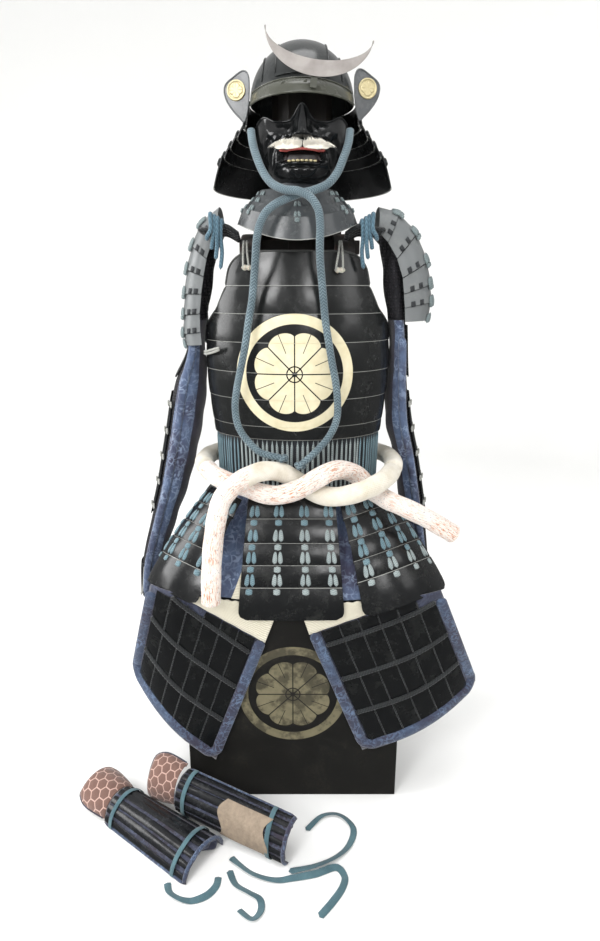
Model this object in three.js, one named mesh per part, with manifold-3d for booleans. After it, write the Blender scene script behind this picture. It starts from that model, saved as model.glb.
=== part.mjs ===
// Samurai armour standing on its storage chest, with its shin guards laid on the ground in front.
// Millimetres, +Z up, front towards -Y. The origin is the centre of the chest's underside.
import * as THREE from "three";
import { mergeVertices } from "three/addons/utils/BufferGeometryUtils.js";
import Module from "manifold-3d";

// ---- driving dimensions ----
const chest = { width: 480, depth: 420, height: 500, wall: 12, lid: 12, rim: 24 };
const cuirass = { x: 11, y: 0, bottom: 842, yoke: 1158, wall: 2.5, lip: 1.2, columns: 12 };
const helmet = {
  x: 20, y: -20, base: 1499, halfWidth: 103, halfDepth: 120, rise: 106, wall: 2.5, power: 2.05,
};
const neckGuard = { x: 21, y: -15, wall: 3, columns: 16 };
const throat = { x: 11, y: -70, wall: 2.5, columns: 12 };
const mask = { x: 20, y: -60, wall: 2.5, columns: 16 };
const crescent = { chord: 189, outerDrop: 67, innerDrop: 41, plate: 1.6, tilt: 7.3 };
const tassetLame = { step: 3, wall: 2.5, columns: 4, belly: 8 };
const belt = { diameter: 38, sides: 8 };
const chinCord = { diameter: 15, sides: 8, steps: 26, knot: 13 };
const tape = { width: 14, thickness: 2 };
const cloth = { wall: 3 };
const gap = 0.3;

const wasm = await Module();
wasm.setup();

const armour = new THREE.Group();
const deg = Math.PI / 180;
const vec = (x, y, z) => new THREE.Vector3(x, y, z);
const mix = (a, b, t) => a + (b - a) * t;

// ---- finishes ----
const finishes = {
  lacquer: { color: 0x1b1c1c, roughness: 0.18, metalness: 0.1 },
  greyLacquer: { color: 0x8e918f, roughness: 0.5, metalness: 0 },
  silver: { color: 0xb3a9a6, roughness: 0.35, metalness: 0.8 },
  wood: { color: 0x2a2725, roughness: 0.5, metalness: 0 },
  stainedWood: { color: 0x1c1815, roughness: 0.6, metalness: 0 },
  leather: { color: 0x4a362b, roughness: 0.6, metalness: 0 },
  lacing: { color: 0x7fa3a8, roughness: 0.9, metalness: 0 },
  brocade: { color: 0x4d5f86, roughness: 0.9, metalness: 0 },
  kikko: { color: 0xa57f70, roughness: 0.9, metalness: 0 },
  cotton: { color: 0xe9e3d3, roughness: 0.95, metalness: 0 },
  hair: { color: 0xe8e0cc, roughness: 0.95, metalness: 0 },
};

function addPiece(name, geometry, finish) {
  const mesh = new THREE.Mesh(geometry, new THREE.MeshStandardMaterial(finishes[finish]));
  mesh.name = name;
  armour.add(mesh);
  return mesh;
}

// ---- closed bodies ----
// One closed body from triangles that share corners; collapsed triangles are dropped and faces turn out.
function closedBody(triangles) {
  const index = new Map();
  const corners = [];
  const numberOf = (p) => {
    const key = [p.x, p.y, p.z].map((v) => Math.round(v * 1000)).join();
    if (!index.has(key)) {
      index.set(key, index.size);
      corners.push(p.x, p.y, p.z);
    }
    return index.get(key);
  };
  let faces = triangles.map((t) => t.map(numberOf));
  faces = faces.filter(([a, b, c]) => a !== b && b !== c && c !== a);
  let volume = 0;
  for (const [a, b, c] of faces) {
    const [p, q, r] = [a, b, c].map((i) => vec(...corners.slice(3 * i, 3 * i + 3)));
    volume += p.dot(q.cross(r));
  }
  if (volume < 0) faces = faces.map(([a, b, c]) => [a, c, b]);
  const geometry = new THREE.BufferGeometry();
  geometry.setAttribute("position", new THREE.Float32BufferAttribute(corners, 3));
  geometry.setIndex(faces.flat());
  return geometry;
}

// Wall between two grids of points: rows run down, columns across. A ring joins its last column and first.
function wallBetween(outer, inner, { ring = false, opening = () => false } = {}) {
  const columns = outer[0].length;
  const across = ring ? columns : columns - 1;
  const triangles = [];
  const quad = (a, b, c, d) => triangles.push([a, b, c], [a, c, d]);
  const filled = (i, j) => {
    if (i < 0 || i > outer.length - 2) return false;
    if (!ring && (j < 0 || j >= across)) return false;
    return !opening(i, (j + columns) % columns);
  };
  for (let i = 0; i < outer.length - 1; i++) {
    for (let j = 0; j < across; j++) {
      if (!filled(i, j)) continue;
      const k = (j + 1) % columns;
      quad(outer[i][j], outer[i + 1][j], outer[i + 1][k], outer[i][k]);
      quad(inner[i][k], inner[i + 1][k], inner[i + 1][j], inner[i][j]);
      if (!filled(i - 1, j)) quad(outer[i][j], outer[i][k], inner[i][k], inner[i][j]);
      if (!filled(i + 1, j)) quad(inner[i + 1][j], inner[i + 1][k], outer[i + 1][k], outer[i + 1][j]);
      if (!filled(i, j - 1)) quad(inner[i][j], inner[i + 1][j], outer[i + 1][j], outer[i][j]);
      if (!filled(i, j + 1)) quad(outer[i][k], outer[i + 1][k], inner[i + 1][k], inner[i][k]);
    }
  }
  return closedBody(triangles);
}

// Solid through rings of the same number of points, closed with a fan at each end.
function solidThrough(rings) {
  const triangles = [];
  const count = rings[0].length;
  for (let i = 0; i < rings.length - 1; i++) {
    for (let j = 0; j < count; j++) {
      const k = (j + 1) % count;
      triangles.push([rings[i][j], rings[i + 1][j], rings[i + 1][k]]);
      triangles.push([rings[i][j], rings[i + 1][k], rings[i][k]]);
    }
  }
  const cap = (ring, turned) => {
    const middle = ring.reduce((sum, p) => sum.add(p), vec(0, 0, 0)).divideScalar(count);
    ring.forEach((p, j) => {
      const next = ring[(j + 1) % count];
      triangles.push(turned ? [middle, next, p] : [middle, p, next]);
    });
  };
  cap(rings[0], false);
  cap(rings[rings.length - 1], true);
  return closedBody(triangles);
}

const curveThrough = (points) =>
  new THREE.CatmullRomCurve3(points.map((p) => vec(...p)), false, "centripetal");

function tubeAlong(points, diameter, sides, steps) {
  const section = new THREE.Shape();
  for (let i = 0; i < sides; i++) {
    const angle = (i / sides) * 2 * Math.PI;
    const [x, y] = [(Math.cos(angle) * diameter) / 2, (Math.sin(angle) * diameter) / 2];
    if (i === 0) section.moveTo(x, y);
    else section.lineTo(x, y);
  }
  const extrudePath = curveThrough(points);
  return new THREE.ExtrudeGeometry(section, { steps, bevelEnabled: false, extrudePath });
}

// Flat strap along a curve. Its width lies along side, or level with the ground where no side is given.
function strapAlong(points, { width, thickness, steps, side = null }) {
  const curve = curveThrough(points);
  const rings = [];
  for (let i = 0; i <= steps; i++) {
    const centre = curve.getPointAt(i / steps);
    const along = curve.getTangentAt(i / steps);
    const across = side ? side.clone() : vec(0, 0, 1).cross(along).normalize();
    const up = along.clone().cross(across).normalize();
    const corner = (s, u) =>
      centre.clone().addScaledVector(across, (s * width) / 2).addScaledVector(up, (u * thickness) / 2);
    rings.push([corner(-1, -1), corner(1, -1), corner(1, 1), corner(-1, 1)]);
  }
  return solidThrough(rings);
}

// ---- joining and cutting ----
function solidOf(geometry) {
  const bare = geometry.clone();
  bare.deleteAttribute("normal");
  bare.deleteAttribute("uv");
  const merged = mergeVertices(bare, 1e-3);
  const triVerts = new Uint32Array(merged.index.array);
  const vertProperties = merged.attributes.position.array;
  return new wasm.Manifold(new wasm.Mesh({ numProp: 3, vertProperties, triVerts }));
}

function geometryOf(solid) {
  const made = solid.getMesh();
  const geometry = new THREE.BufferGeometry();
  geometry.setAttribute("position", new THREE.Float32BufferAttribute(made.vertProperties, 3));
  geometry.setIndex(new THREE.BufferAttribute(made.triVerts, 1));
  return geometry;
}

const boxFrom = ([x0, y0, z0], [x1, y1, z1]) =>
  new THREE.BoxGeometry(x1 - x0, y1 - y0, z1 - z0).translate((x0 + x1) / 2, (y0 + y1) / 2, (z0 + z1) / 2);

// Curved plate round a standing ellipse. Each row is {z, a, b, reach}: half-width, half-depth and reach in
// degrees to each side of the middle; side is -1 for a plate at the front and 1 for one at the back.
function curvedPlate(rows, { x, y, wall, columns, side = -1, relief = () => 0, opening }) {
  const grid = (inset) =>
    rows.map(({ z, a, b, reach, lift = () => 0 }) =>
      Array.from({ length: columns + 1 }, (_, j) => {
        const angle = mix(-reach, reach, j / columns) * deg;
        const depth = (b - inset + relief(a * Math.sin(angle), z)) * Math.cos(angle);
        return vec(x + (a - inset) * Math.sin(angle), y + side * depth, z + lift(a * Math.sin(angle)));
      }),
    );
  return wallBetween(grid(0), grid(wall), { opening });
}

// ---- storage chest ----
function buildChest() {
  const { width, depth, height, wall, lid, rim } = chest;
  const [w, d, top] = [width / 2, depth / 2, height - lid];
  const box = solidOf(boxFrom([-w, -d, 0], [w, d, top - gap]));
  const hollow = solidOf(boxFrom([-w + wall, -d + wall, wall], [w - wall, d - wall, height]));
  addPiece("chest_body", geometryOf(box.subtract(hollow)), "wood");

  const [rimX, rimY] = [w - wall - gap, d - wall - gap];
  const plate = solidOf(boxFrom([-w, -d, top], [w, d, height]));
  const lip = solidOf(boxFrom([-rimX, -rimY, top - rim], [rimX, rimY, top + 1]));
  const [openX, openY] = [rimX - wall, rimY - wall];
  const inside = solidOf(boxFrom([-openX, -openY, top - rim - 1], [openX, openY, top]));
  addPiece("chest_lid", geometryOf(plate.add(lip.subtract(inside))), "wood");
}

// ---- wooden stand inside the armour ----
function buildStand() {
  const [x, y] = [15, 10];
  const bar = { halfLength: 128, halfDepth: 18, bottom: 1222, top: 1250 };
  const post = { halfWidth: 24, halfDepth: 20 };
  const upright = solidOf(boxFrom([x - post.halfWidth, y - post.halfDepth, chest.height + gap],
    [x + post.halfWidth, y + post.halfDepth, bar.top]));
  const shoulders = solidOf(boxFrom([x - bar.halfLength, y - bar.halfDepth, bar.bottom],
    [x + bar.halfLength, y + bar.halfDepth, bar.top]));
  addPiece("stand_frame", geometryOf(upright.add(shoulders)), "stainedWood");

  const profile = [[0, 1250.4], [34, 1250.4], [34, 1370], [60, 1410],
    [62, 1530], [54, 1560], [36, 1580], [0, 1588]];
  const head = new THREE.LatheGeometry(profile.map(([r, z]) => new THREE.Vector2(r, z)), 14);
  addPiece("stand_head", head.rotateX(90 * deg).translate(helmet.x, 0, 0), "stainedWood");
}

// ---- cuirass ----
// Outline of the cuirass at a height, from its sections.
const cuirassSections = [
  { z: 842, a: 188, b: 128 },
  { z: 928, a: 198, b: 135 },
  { z: 984, a: 202, b: 138 },
  { z: 1045, a: 201, b: 136 },
  { z: 1102, a: 196, b: 131 },
  { z: 1158, a: 187, b: 124 },
  { z: 1240, a: 168, b: 110 },
];

function cuirassAt(z) {
  const next = Math.max(1, cuirassSections.findIndex((s) => s.z >= z));
  const [low, high] = [cuirassSections[next - 1], cuirassSections[next]];
  const t = (z - low.z) / (high.z - low.z);
  return { z, a: mix(low.a, high.a, t), b: mix(low.b, high.b, t) };
}

// Reach of the plate round the body: full below the armhole, drawn in above it.
function cuirassReach(z) {
  const [armhole, edge] = [1068, 1112];
  const full = 89.7;
  if (z <= armhole) return full;
  if (z >= edge) return mix(60, 51.5, Math.min(1, (z - edge) / (cuirass.yoke - edge)));
  return mix(full, 60, ((z - armhole) / (edge - armhole)) ** 0.7);
}

function buildCuirass() {
  const edges = [1158, 1102, 1068, 1045, 984, 928, 870, 842];
  const withoutSeam = [1068];
  const rowsOf = () =>
    edges.flatMap((z, i) => {
      const row = (height, lip) => {
        const { a, b } = cuirassAt(height);
        return { z: height, a: a + lip, b: b + lip, reach: cuirassReach(height) };
      };
      if (i === 0) return [row(z - gap, 0)];
      if (i === edges.length - 1 || withoutSeam.includes(z)) return [row(z, cuirass.lip)];
      return [row(z + 1, cuirass.lip), row(z - 1, 0)];
    });
  addPiece("cuirass_front", curvedPlate(rowsOf(), cuirass), "lacquer");

  const backTop = [{ z: 1238, reach: 34 }, { z: 1222, reach: 46 }, { z: 1190, reach: 51 }]
    .map(({ z, reach }) => ({ ...cuirassAt(z), reach }));
  addPiece("cuirass_back", curvedPlate([...backTop, ...rowsOf()], { ...cuirass, side: 1 }), "lacquer");

  const yokeReach = [[1224, 34], [1212, 45], [1192, 51], [1158, 51.5]];
  const yokeRows = yokeReach.map(([z, reach]) => ({ ...cuirassAt(z), reach }));
  addPiece("breast_plate", curvedPlate(yokeRows, cuirass), "lacquer");

  for (const [name, side] of [["left", -1], ["right", 1]]) {
    const x = cuirass.x + side * 96;
    const route = [[x, -78, 1204], [x, -62, 1240], [x, -28, 1257], [x, 28, 1257],
      [x, 58, 1244], [x, 70, 1214]];
    const strap = strapAlong(route, { width: 44, thickness: 5, steps: 8, side: vec(1, 0, 0) });
    addPiece("shoulder_strap_" + name, strap, "leather");
  }

  for (const [name, x, y, z] of [["left", -90, -108, 1192], ["right", 95, -115, 1187]]) {
    const toggle = new THREE.CapsuleGeometry(5, 14, 3, 8).rotateZ(90 * deg).translate(x, y, z);
    addPiece("toggle_" + name, toggle, "cotton");
  }
}

// ---- waist lacing: the band of cords that carries the tassets ----
function buildWaist() {
  const [columns, wall] = [24, 2];
  const rows = [{ z: cuirass.bottom - gap, a: 187, b: 127 }, { z: 722, a: 184, b: 125 }];
  const grid = (inset) =>
    rows.map(({ z, a, b }) =>
      Array.from({ length: columns }, (_, j) => {
        const angle = (j / columns) * 2 * Math.PI;
        return vec(cuirass.x + (a - inset) * Math.sin(angle), cuirass.y - (b - inset) * Math.cos(angle), z);
      }),
    );
  addPiece("waist_lacing", wallBetween(grid(0), grid(wall), { ring: true }), "lacing");
}

// ---- tassets: seven hanging skirts of five lames, each lame standing proud of the one above ----
const tassets = [
  { name: "front", topLeft: [-96, -133, 716], topRight: [92, -133, 716],
    bottomLeft: [-116, -236, 477], bottomRight: [111, -236, 477], bulge: 8 },
  { name: "front_right", topLeft: [97, -130, 710], topRight: [208, -44, 712],
    bottomLeft: [147, -236, 493], bottomRight: [344, -130, 512], bulge: 44 },
  { name: "front_left", topLeft: [-190, -40, 712], topRight: [-108, -128, 708],
    bottomLeft: [-333, -90, 512], bottomRight: [-197, -236, 520], bulge: 38 },
  { name: "side_right", topLeft: [211, -36, 712], topRight: [188, 76, 712],
    bottomLeft: [284, -84, 508], bottomRight: [268, 120, 508], bulge: 8 },
  { name: "side_left", topLeft: [-166, 76, 712], topRight: [-190, -32, 712],
    bottomLeft: [-272, 120, 508], bottomRight: [-296, -70, 508], bulge: 8 },
  { name: "back_right", topLeft: [184, 84, 712], topRight: [15, 146, 712],
    bottomLeft: [252, 176, 508], bottomRight: [22, 246, 508], bulge: 14 },
  { name: "back_left", topLeft: [7, 146, 712], topRight: [-162, 84, 712],
    bottomLeft: [0, 246, 508], bottomRight: [-256, 176, 508], bulge: 14 },
];
const tassetRows = [0, 0.18, 0.38, 0.56, 0.74, 1];

function buildTasset({ name, topLeft, topRight, bottomLeft, bottomRight, bulge }) {
  const [tl, tr, bl, br] = [topLeft, topRight, bottomLeft, bottomRight].map((p) => vec(...p));
  const across = tr.clone().sub(tl).add(br.clone().sub(bl));
  const down = bl.clone().sub(tl).add(br.clone().sub(tr));
  const out = down.clone().cross(across).normalize();
  const drop = down.length() / 2;
  const seam = 2.5 / drop;
  const rows = tassetRows.slice(0, -1).flatMap((v, i) => {
    const last = i === tassetRows.length - 2;
    return [[v, tassetLame.step], [tassetRows[i + 1] - (last ? 0 : seam), 0]];
  });
  const grid = (inset) =>
    rows.map(([v, lift]) =>
      Array.from({ length: tassetLame.columns + 1 }, (_, j) => {
        const u = j / tassetLame.columns;
        const point = tl.clone().lerp(tr, u).lerp(bl.clone().lerp(br, u), v);
        const bow = bulge * (1 - (2 * u - 1) ** 2) * mix(0.55, 1, v);
        const belly = tassetLame.belly * Math.sin(Math.PI * v);
        return point.addScaledVector(out, bow + belly + lift - inset);
      }),
    );
  addPiece("tasset_" + name, wallBetween(grid(0), grid(tassetLame.wall)), "lacquer");
}

// ---- padded cloth belt: a roll round the waist whose two ends twist and hang at the front ----
function buildBelt() {
  const roll = [[222, -88, 768], [231, -30, 768], [222, 50, 766], [178, 118, 764], [98, 158, 762],
    [15, 168, 762], [-68, 158, 764], [-148, 118, 766], [-192, 50, 770], [-204, -30, 773],
    [-194, -88, 775]];
  const plain = [[219, -97, 768], [200, -150, 768], [170, -188, 762], [140, -198, 751], [95, -191, 738],
    [52, -173, 739], [14, -153, 757], [-20, -158, 780], [-52, -172, 788], [-84, -192, 785],
    [-112, -205, 772], [-140, -218, 744], [-153, -226, 706], [-160, -234, 664], [-164, -243, 614],
    [-167, -251, 564], [-169, -253, 520]];
  const woven = [[-191, -98, 775], [-166, -136, 768], [-132, -153, 757], [-100, -156, 748],
    [-66, -172, 740], [-28, -190, 741], [14, -197, 756], [48, -192, 776], [80, -174, 787],
    [112, -150, 783], [142, -132, 764], [168, -138, 737], [190, -150, 725], [212, -166, 717],
    [247, -178, 704], [290, -176, 682], [324, -172, 660], [350, -168, 642]];
  addPiece("belt_roll", tubeAlong(roll, belt.diameter, belt.sides, 20), "cotton");
  addPiece("belt_plain_strand", tubeAlong(plain, belt.diameter, belt.sides, 20), "cotton");
  addPiece("belt_woven_strand", tubeAlong(woven, belt.diameter, belt.sides, 22), "cotton");
}

// ---- thigh guards: an apron from the waist and two hanging panels covered with small plates ----
// Panels lie on the chest's front and turn back round its corners.
const thigh = { front: -219, turn: 224, depth: 100, rows: 4, columns: 8 };
const thighPanels = [
  { name: "right", side: 1, topInner: [14, 503], topOuter: [318, 530], inner: [33, 447], outer: [330, 504],
    bottomInner: [159, 134], bottomOuter: [437, 249] },
  { name: "left", side: -1, topInner: [-28, 503], topOuter: [-306, 540], inner: [-43, 459],
    outer: [-321, 514], bottomInner: [-178, 107], bottomOuter: [-377, 288] },
];

function buildThighPanel({ name, topInner, topOuter, inner, outer, bottomInner, bottomOuter }) {
  const lines = [[topInner, topOuter]];
  for (let i = 0; i <= thigh.rows; i++) {
    const t = i / thigh.rows;
    const from = inner.map((v, k) => mix(v, bottomInner[k], t));
    const to = outer.map((v, k) => mix(v, bottomOuter[k], t));
    lines.push([from, to]);
  }
  const grid = (inset) =>
    lines.map(([from, to]) =>
      Array.from({ length: thigh.columns + 1 }, (_, j) => {
        const u = j / thigh.columns;
        const x = mix(from[0], to[0], u);
        const past = Math.max(0, Math.abs(x) - thigh.turn) / (Math.abs(to[0]) - thigh.turn);
        return vec(x, thigh.front + thigh.depth * past ** 2 + inset, mix(from[1], to[1], u));
      }),
    );
  addPiece("thigh_guard_" + name, wallBetween(grid(0), grid(cloth.wall)), "brocade");
}

// The apron hangs from the waist and ends just above the panels' top edges.
function buildApron() {
  const [columns, rows] = [14, 4];
  const waist = { a: 172, b: 116, z: 714, reach: 72 };
  const hem = 3;
  const grid = (inset) =>
    Array.from({ length: rows + 1 }, (_, i) =>
      Array.from({ length: columns + 1 }, (_, j) => {
        const u = mix(-1, 1, j / columns);
        const angle = u * waist.reach * deg;
        const top = vec(cuirass.x + waist.a * Math.sin(angle), -waist.b * Math.cos(angle) + inset, waist.z);
        const { topInner, topOuter } = thighPanels[u > 0 ? 0 : 1];
        const x = Math.abs(u) * topOuter[0];
        const past = Math.max(0, Math.abs(x) - thigh.turn) / (Math.abs(topOuter[0]) - thigh.turn);
        const z = mix(topInner[1], topOuter[1], Math.abs(u)) + hem;
        return top.lerp(vec(x, thigh.front + thigh.depth * past ** 2 + inset, z), i / rows);
      }),
    );
  addPiece("thigh_apron", wallBetween(grid(0), grid(cloth.wall)), "brocade");
}

// ---- shoulder guards: lames bent round the upper arm, following the shoulder down ----
const shoulderGuards = [
  { name: "right", halfDepth: 62,
    inner: [[176, 1262], [196, 1242], [216, 1210], [229, 1172], [233, 1140], [236, 1112], [238, 1084]],
    outer: [[180, 1316], [223, 1303], [262, 1264], [288, 1206], [297, 1160], [301, 1124], [294, 1086]] },
  { name: "left", halfDepth: 62,
    inner: [[-150, 1264], [-165, 1240], [-176, 1210], [-184, 1175], [-190, 1140], [-195, 1100],
      [-195, 1062], [-193, 1036]],
    outer: [[-152, 1316], [-193, 1282], [-213, 1238], [-226, 1190], [-233, 1140], [-237, 1096],
      [-240, 1056], [-235, 1033]] },
];

function buildShoulderGuard({ name, inner, outer, halfDepth }) {
  const [columns, step, wall] = [10, 3, 2.5];
  const rows = [];
  for (let i = 0; i < inner.length - 1; i++) {
    const seam = i === inner.length - 2 ? 1 : 0.92;
    const at = (t, lift) => ({
      root: vec(mix(inner[i][0], inner[i + 1][0], t), 0, mix(inner[i][1], inner[i + 1][1], t)),
      crown: vec(mix(outer[i][0], outer[i + 1][0], t), 0, mix(outer[i][1], outer[i + 1][1], t)),
      lift,
    });
    rows.push(at(0, 0), at(seam, step));
  }
  const grid = (inset) =>
    rows.map(({ root, crown, lift }) => {
      const reach = crown.clone().sub(root);
      const span = reach.length() + lift - inset;
      reach.normalize();
      return Array.from({ length: columns + 1 }, (_, j) => {
        const angle = mix(-90, 90, j / columns) * deg;
        const depth = (halfDepth + lift - inset) * Math.sin(angle);
        return root.clone().addScaledVector(reach, span * Math.cos(angle) ** 0.8).add(vec(0, depth, 0));
      });
    });
  addPiece("shoulder_guard_" + name, wallBetween(grid(0), grid(wall)), "greyLacquer");
}

// ---- armoured sleeves: flattened cloth tubes, open at the shoulder and the wrist ----
// Each row is {z, x, w, y, d}: centre and half-widths across and along.
const sleeves = {
  left: [
    { z: 1258, x: -172, w: 20, y: 2, d: 38 }, { z: 1200, x: -190, w: 22, y: 2, d: 42 },
    { z: 1140, x: -203, w: 24, y: 2, d: 44 }, { z: 1060, x: -214, w: 18, y: 2, d: 44 },
    { z: 1022, x: -214, w: 17, y: 6, d: 44 }, { z: 950, x: -233, w: 35, y: 20, d: 52 },
    { z: 837, x: -256, w: 39, y: 32, d: 56 }, { z: 700, x: -290, w: 36, y: 38, d: 52 },
    { z: 614, x: -318, w: 31, y: 40, d: 48 }, { z: 500, x: -352, w: 27, y: 42, d: 42 },
    { z: 400, x: -366, w: 21, y: 42, d: 34 },
  ],
  right: [
    { z: 1258, x: 204, w: 20, y: 2, d: 38 }, { z: 1200, x: 216, w: 22, y: 2, d: 42 },
    { z: 1140, x: 222, w: 21, y: 2, d: 44 }, { z: 1060, x: 232, w: 17, y: 2, d: 44 },
    { z: 984, x: 236, w: 20, y: 16, d: 50 }, { z: 900, x: 242, w: 26, y: 36, d: 50 },
    { z: 837, x: 252, w: 29, y: 52, d: 48 }, { z: 770, x: 270, w: 28, y: 62, d: 46 },
    { z: 614, x: 298, w: 28, y: 60, d: 44 }, { z: 500, x: 316, w: 25, y: 56, d: 40 },
    { z: 400, x: 328, w: 20, y: 52, d: 34 },
  ],
};

function buildSleeve(name, rows) {
  const columns = 10;
  const grid = (inset) =>
    rows.map(({ z, x, w, y, d }) =>
      Array.from({ length: columns }, (_, j) => {
        const angle = (j / columns) * 2 * Math.PI;
        return vec(x + (w - inset) * Math.sin(angle), y - (d - inset) * Math.cos(angle), z);
      }),
    );
  addPiece("sleeve_" + name, wallBetween(grid(0), grid(cloth.wall), { ring: true }), "brocade");
}

// ---- helmet ----
const bowlShrink = (share) => (1 - share ** helmet.power) ** (1 / helmet.power);

function buildBowl() {
  const shares = [0, 0.25, 0.5, 0.7, 0.85, 0.95, 1];
  const columns = 18;
  const grid = (inset) =>
    shares.map((share) =>
      Array.from({ length: columns }, (_, j) => {
        const angle = (j / columns) * 2 * Math.PI;
        const shrink = bowlShrink(share);
        const x = helmet.x + (helmet.halfWidth - inset) * shrink * Math.sin(angle);
        const y = helmet.y - (helmet.halfDepth - inset) * shrink * Math.cos(angle);
        return vec(x, y, helmet.base + (helmet.rise - inset) * share);
      }),
    );
  addPiece("helmet_bowl", wallBetween(grid(0), grid(helmet.wall), { ring: true }), "lacquer");
}

// Point over the bowl, across its middle line and turned from the front edge over the top, lifted off it.
function overBowl(across, turn, lift) {
  const [a, b, c] = [helmet.halfWidth + lift, helmet.halfDepth + lift, helmet.rise + lift];
  const { power } = helmet;
  const reach = (k) => Math.hypot(across / a, k * Math.cos(turn)) ** power + (k * Math.sin(turn)) ** power;
  let [low, high] = [0, 1.2];
  for (let i = 0; i < 30; i++) {
    const middle = (low + high) / 2;
    if (reach(middle) > 1) high = middle;
    else low = middle;
  }
  return vec(helmet.x + across, helmet.y - low * b * Math.cos(turn), helmet.base + low * c * Math.sin(turn));
}

function buildTopPlate() {
  const [columns, rows] = [4, 12];
  const grid = (lift) =>
    Array.from({ length: rows + 1 }, (_, i) => {
      const turn = mix(14, 166, i / rows) * deg;
      const halfWidth = mix(50, 34, i / rows);
      const across = (j) => mix(-halfWidth, halfWidth, j / columns);
      return Array.from({ length: columns + 1 }, (_, j) => overBowl(across(j), turn, lift));
    });
  addPiece("helmet_top_plate", wallBetween(grid(3.4), grid(1.4)), "lacquer");
}

const visorRows = [
  { z: 1518, a: 104.6, b: 121.8, reach: 66, lift: (x) => -8 * (x / 96) ** 2 },
  { z: 1506, a: 106.5, b: 137, reach: 68, lift: (x) => -4 * (x / 98) ** 2 },
  { z: 1488, a: 107.5, b: 145.5, reach: 68 },
];

function buildHelmet() {
  buildBowl();
  buildTopPlate();
  const visor = curvedPlate(visorRows, { x: helmet.x, y: helmet.y, wall: 2, columns: 12 });
  addPiece("helmet_visor", visor, "lacquer");

  const lames = [
    { top: 1502, bottom: 1458, aTop: 108.5, aBottom: 117, bTop: 121, bBottom: 126, reach: 107 },
    { top: 1462, bottom: 1440, aTop: 121, aBottom: 133, bTop: 130, bBottom: 142, reach: 104 },
    { top: 1444, bottom: 1422, aTop: 135, aBottom: 147, bTop: 144, bBottom: 155, reach: 102 },
    { top: 1426, bottom: 1404, aTop: 149, aBottom: 160, bTop: 157, bBottom: 166, reach: 100 },
    { top: 1408, bottom: 1346, aTop: 164, aBottom: 183, bTop: 168, bBottom: 184, reach: 98 },
  ];
  lames.forEach(({ top, bottom, aTop, aBottom, bTop, bBottom, reach }, i) => {
    const rows = [{ z: top, a: aTop, b: bTop, reach }, { z: bottom, a: aBottom, b: bBottom, reach }];
    addPiece("neck_guard_" + (i + 1), curvedPlate(rows, { ...neckGuard, side: 1 }), "lacquer");
  });
}

// Ear-shaped plates turned back from the top lame, each with a raised round badge.
function buildTurnbacks() {
  const outline = [[25, -14], [26, 10], [25, 22], [20, 31], [12, 32], [-6, 22], [-20, 12], [-24, 2],
    [-20, -16], [-6, -36], [6, -48], [14, -55], [21, -38]];
  const badge = { radius: 18.4, height: 3 };
  for (const [name, side, x, z] of [["left", 1, -107, 1518], ["right", -1, 146, 1521]]) {
    const shape = new THREE.Shape(outline.map(([u, v]) => new THREE.Vector2(side * u, v)));
    const plate = new THREE.ExtrudeGeometry(shape, { depth: 2.5, bevelEnabled: false });
    const disc = new THREE.CylinderGeometry(badge.radius, badge.radius, badge.height, 20);
    disc.rotateX(90 * deg).translate(0, 0, 2.5 + badge.height / 2 - 1);
    const joined = geometryOf(solidOf(plate).add(solidOf(disc)));
    joined.rotateX(90 * deg).rotateZ(side * -10 * deg).translate(x, -55, z);
    addPiece("turnback_" + name, joined, "lacquer");
  }
}

// The crescent slides up off a flat tongue that stands on the visor.
function buildCrest() {
  const { chord, outerDrop, innerDrop, plate, tilt } = crescent;
  const half = chord / 2;
  const shape = new THREE.Shape();
  shape.absellipse(0, 0, half, outerDrop, Math.PI, 2 * Math.PI, false);
  shape.absellipse(0, 0, half, innerDrop, 2 * Math.PI, Math.PI, true);
  const moon = new THREE.ExtrudeGeometry(shape, { depth: plate, bevelEnabled: false, curveSegments: 20 });
  const sleeve = solidOf(boxFrom([-10, -62, -8], [10, -44, 0.5]));
  const slot = solidOf(boxFrom([-6.5, -70, -6], [6.5, -30, -2.4]));
  const stand = new THREE.Group();
  stand.position.set(49.75, -169, 1577);
  stand.rotation.set(0, tilt * deg, 0);
  stand.updateMatrixWorld(true);
  const upright = new THREE.Matrix4().makeRotationX(90 * deg);
  const placed = (geometry) => geometry.applyMatrix4(upright).applyMatrix4(stand.matrixWorld);

  addPiece("crest_crescent", placed(geometryOf(solidOf(moon).add(sleeve.subtract(slot)))), "silver");
  const tongue = solidOf(boxFrom([-6, -84, -5.4], [6, -42, -3]));
  const foot = solidOf(boxFrom([-6, -84, -7.2], [6, -77, -5]));
  addPiece("crest_socket", placed(geometryOf(tongue.add(foot))), "lacquer");
}

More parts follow.
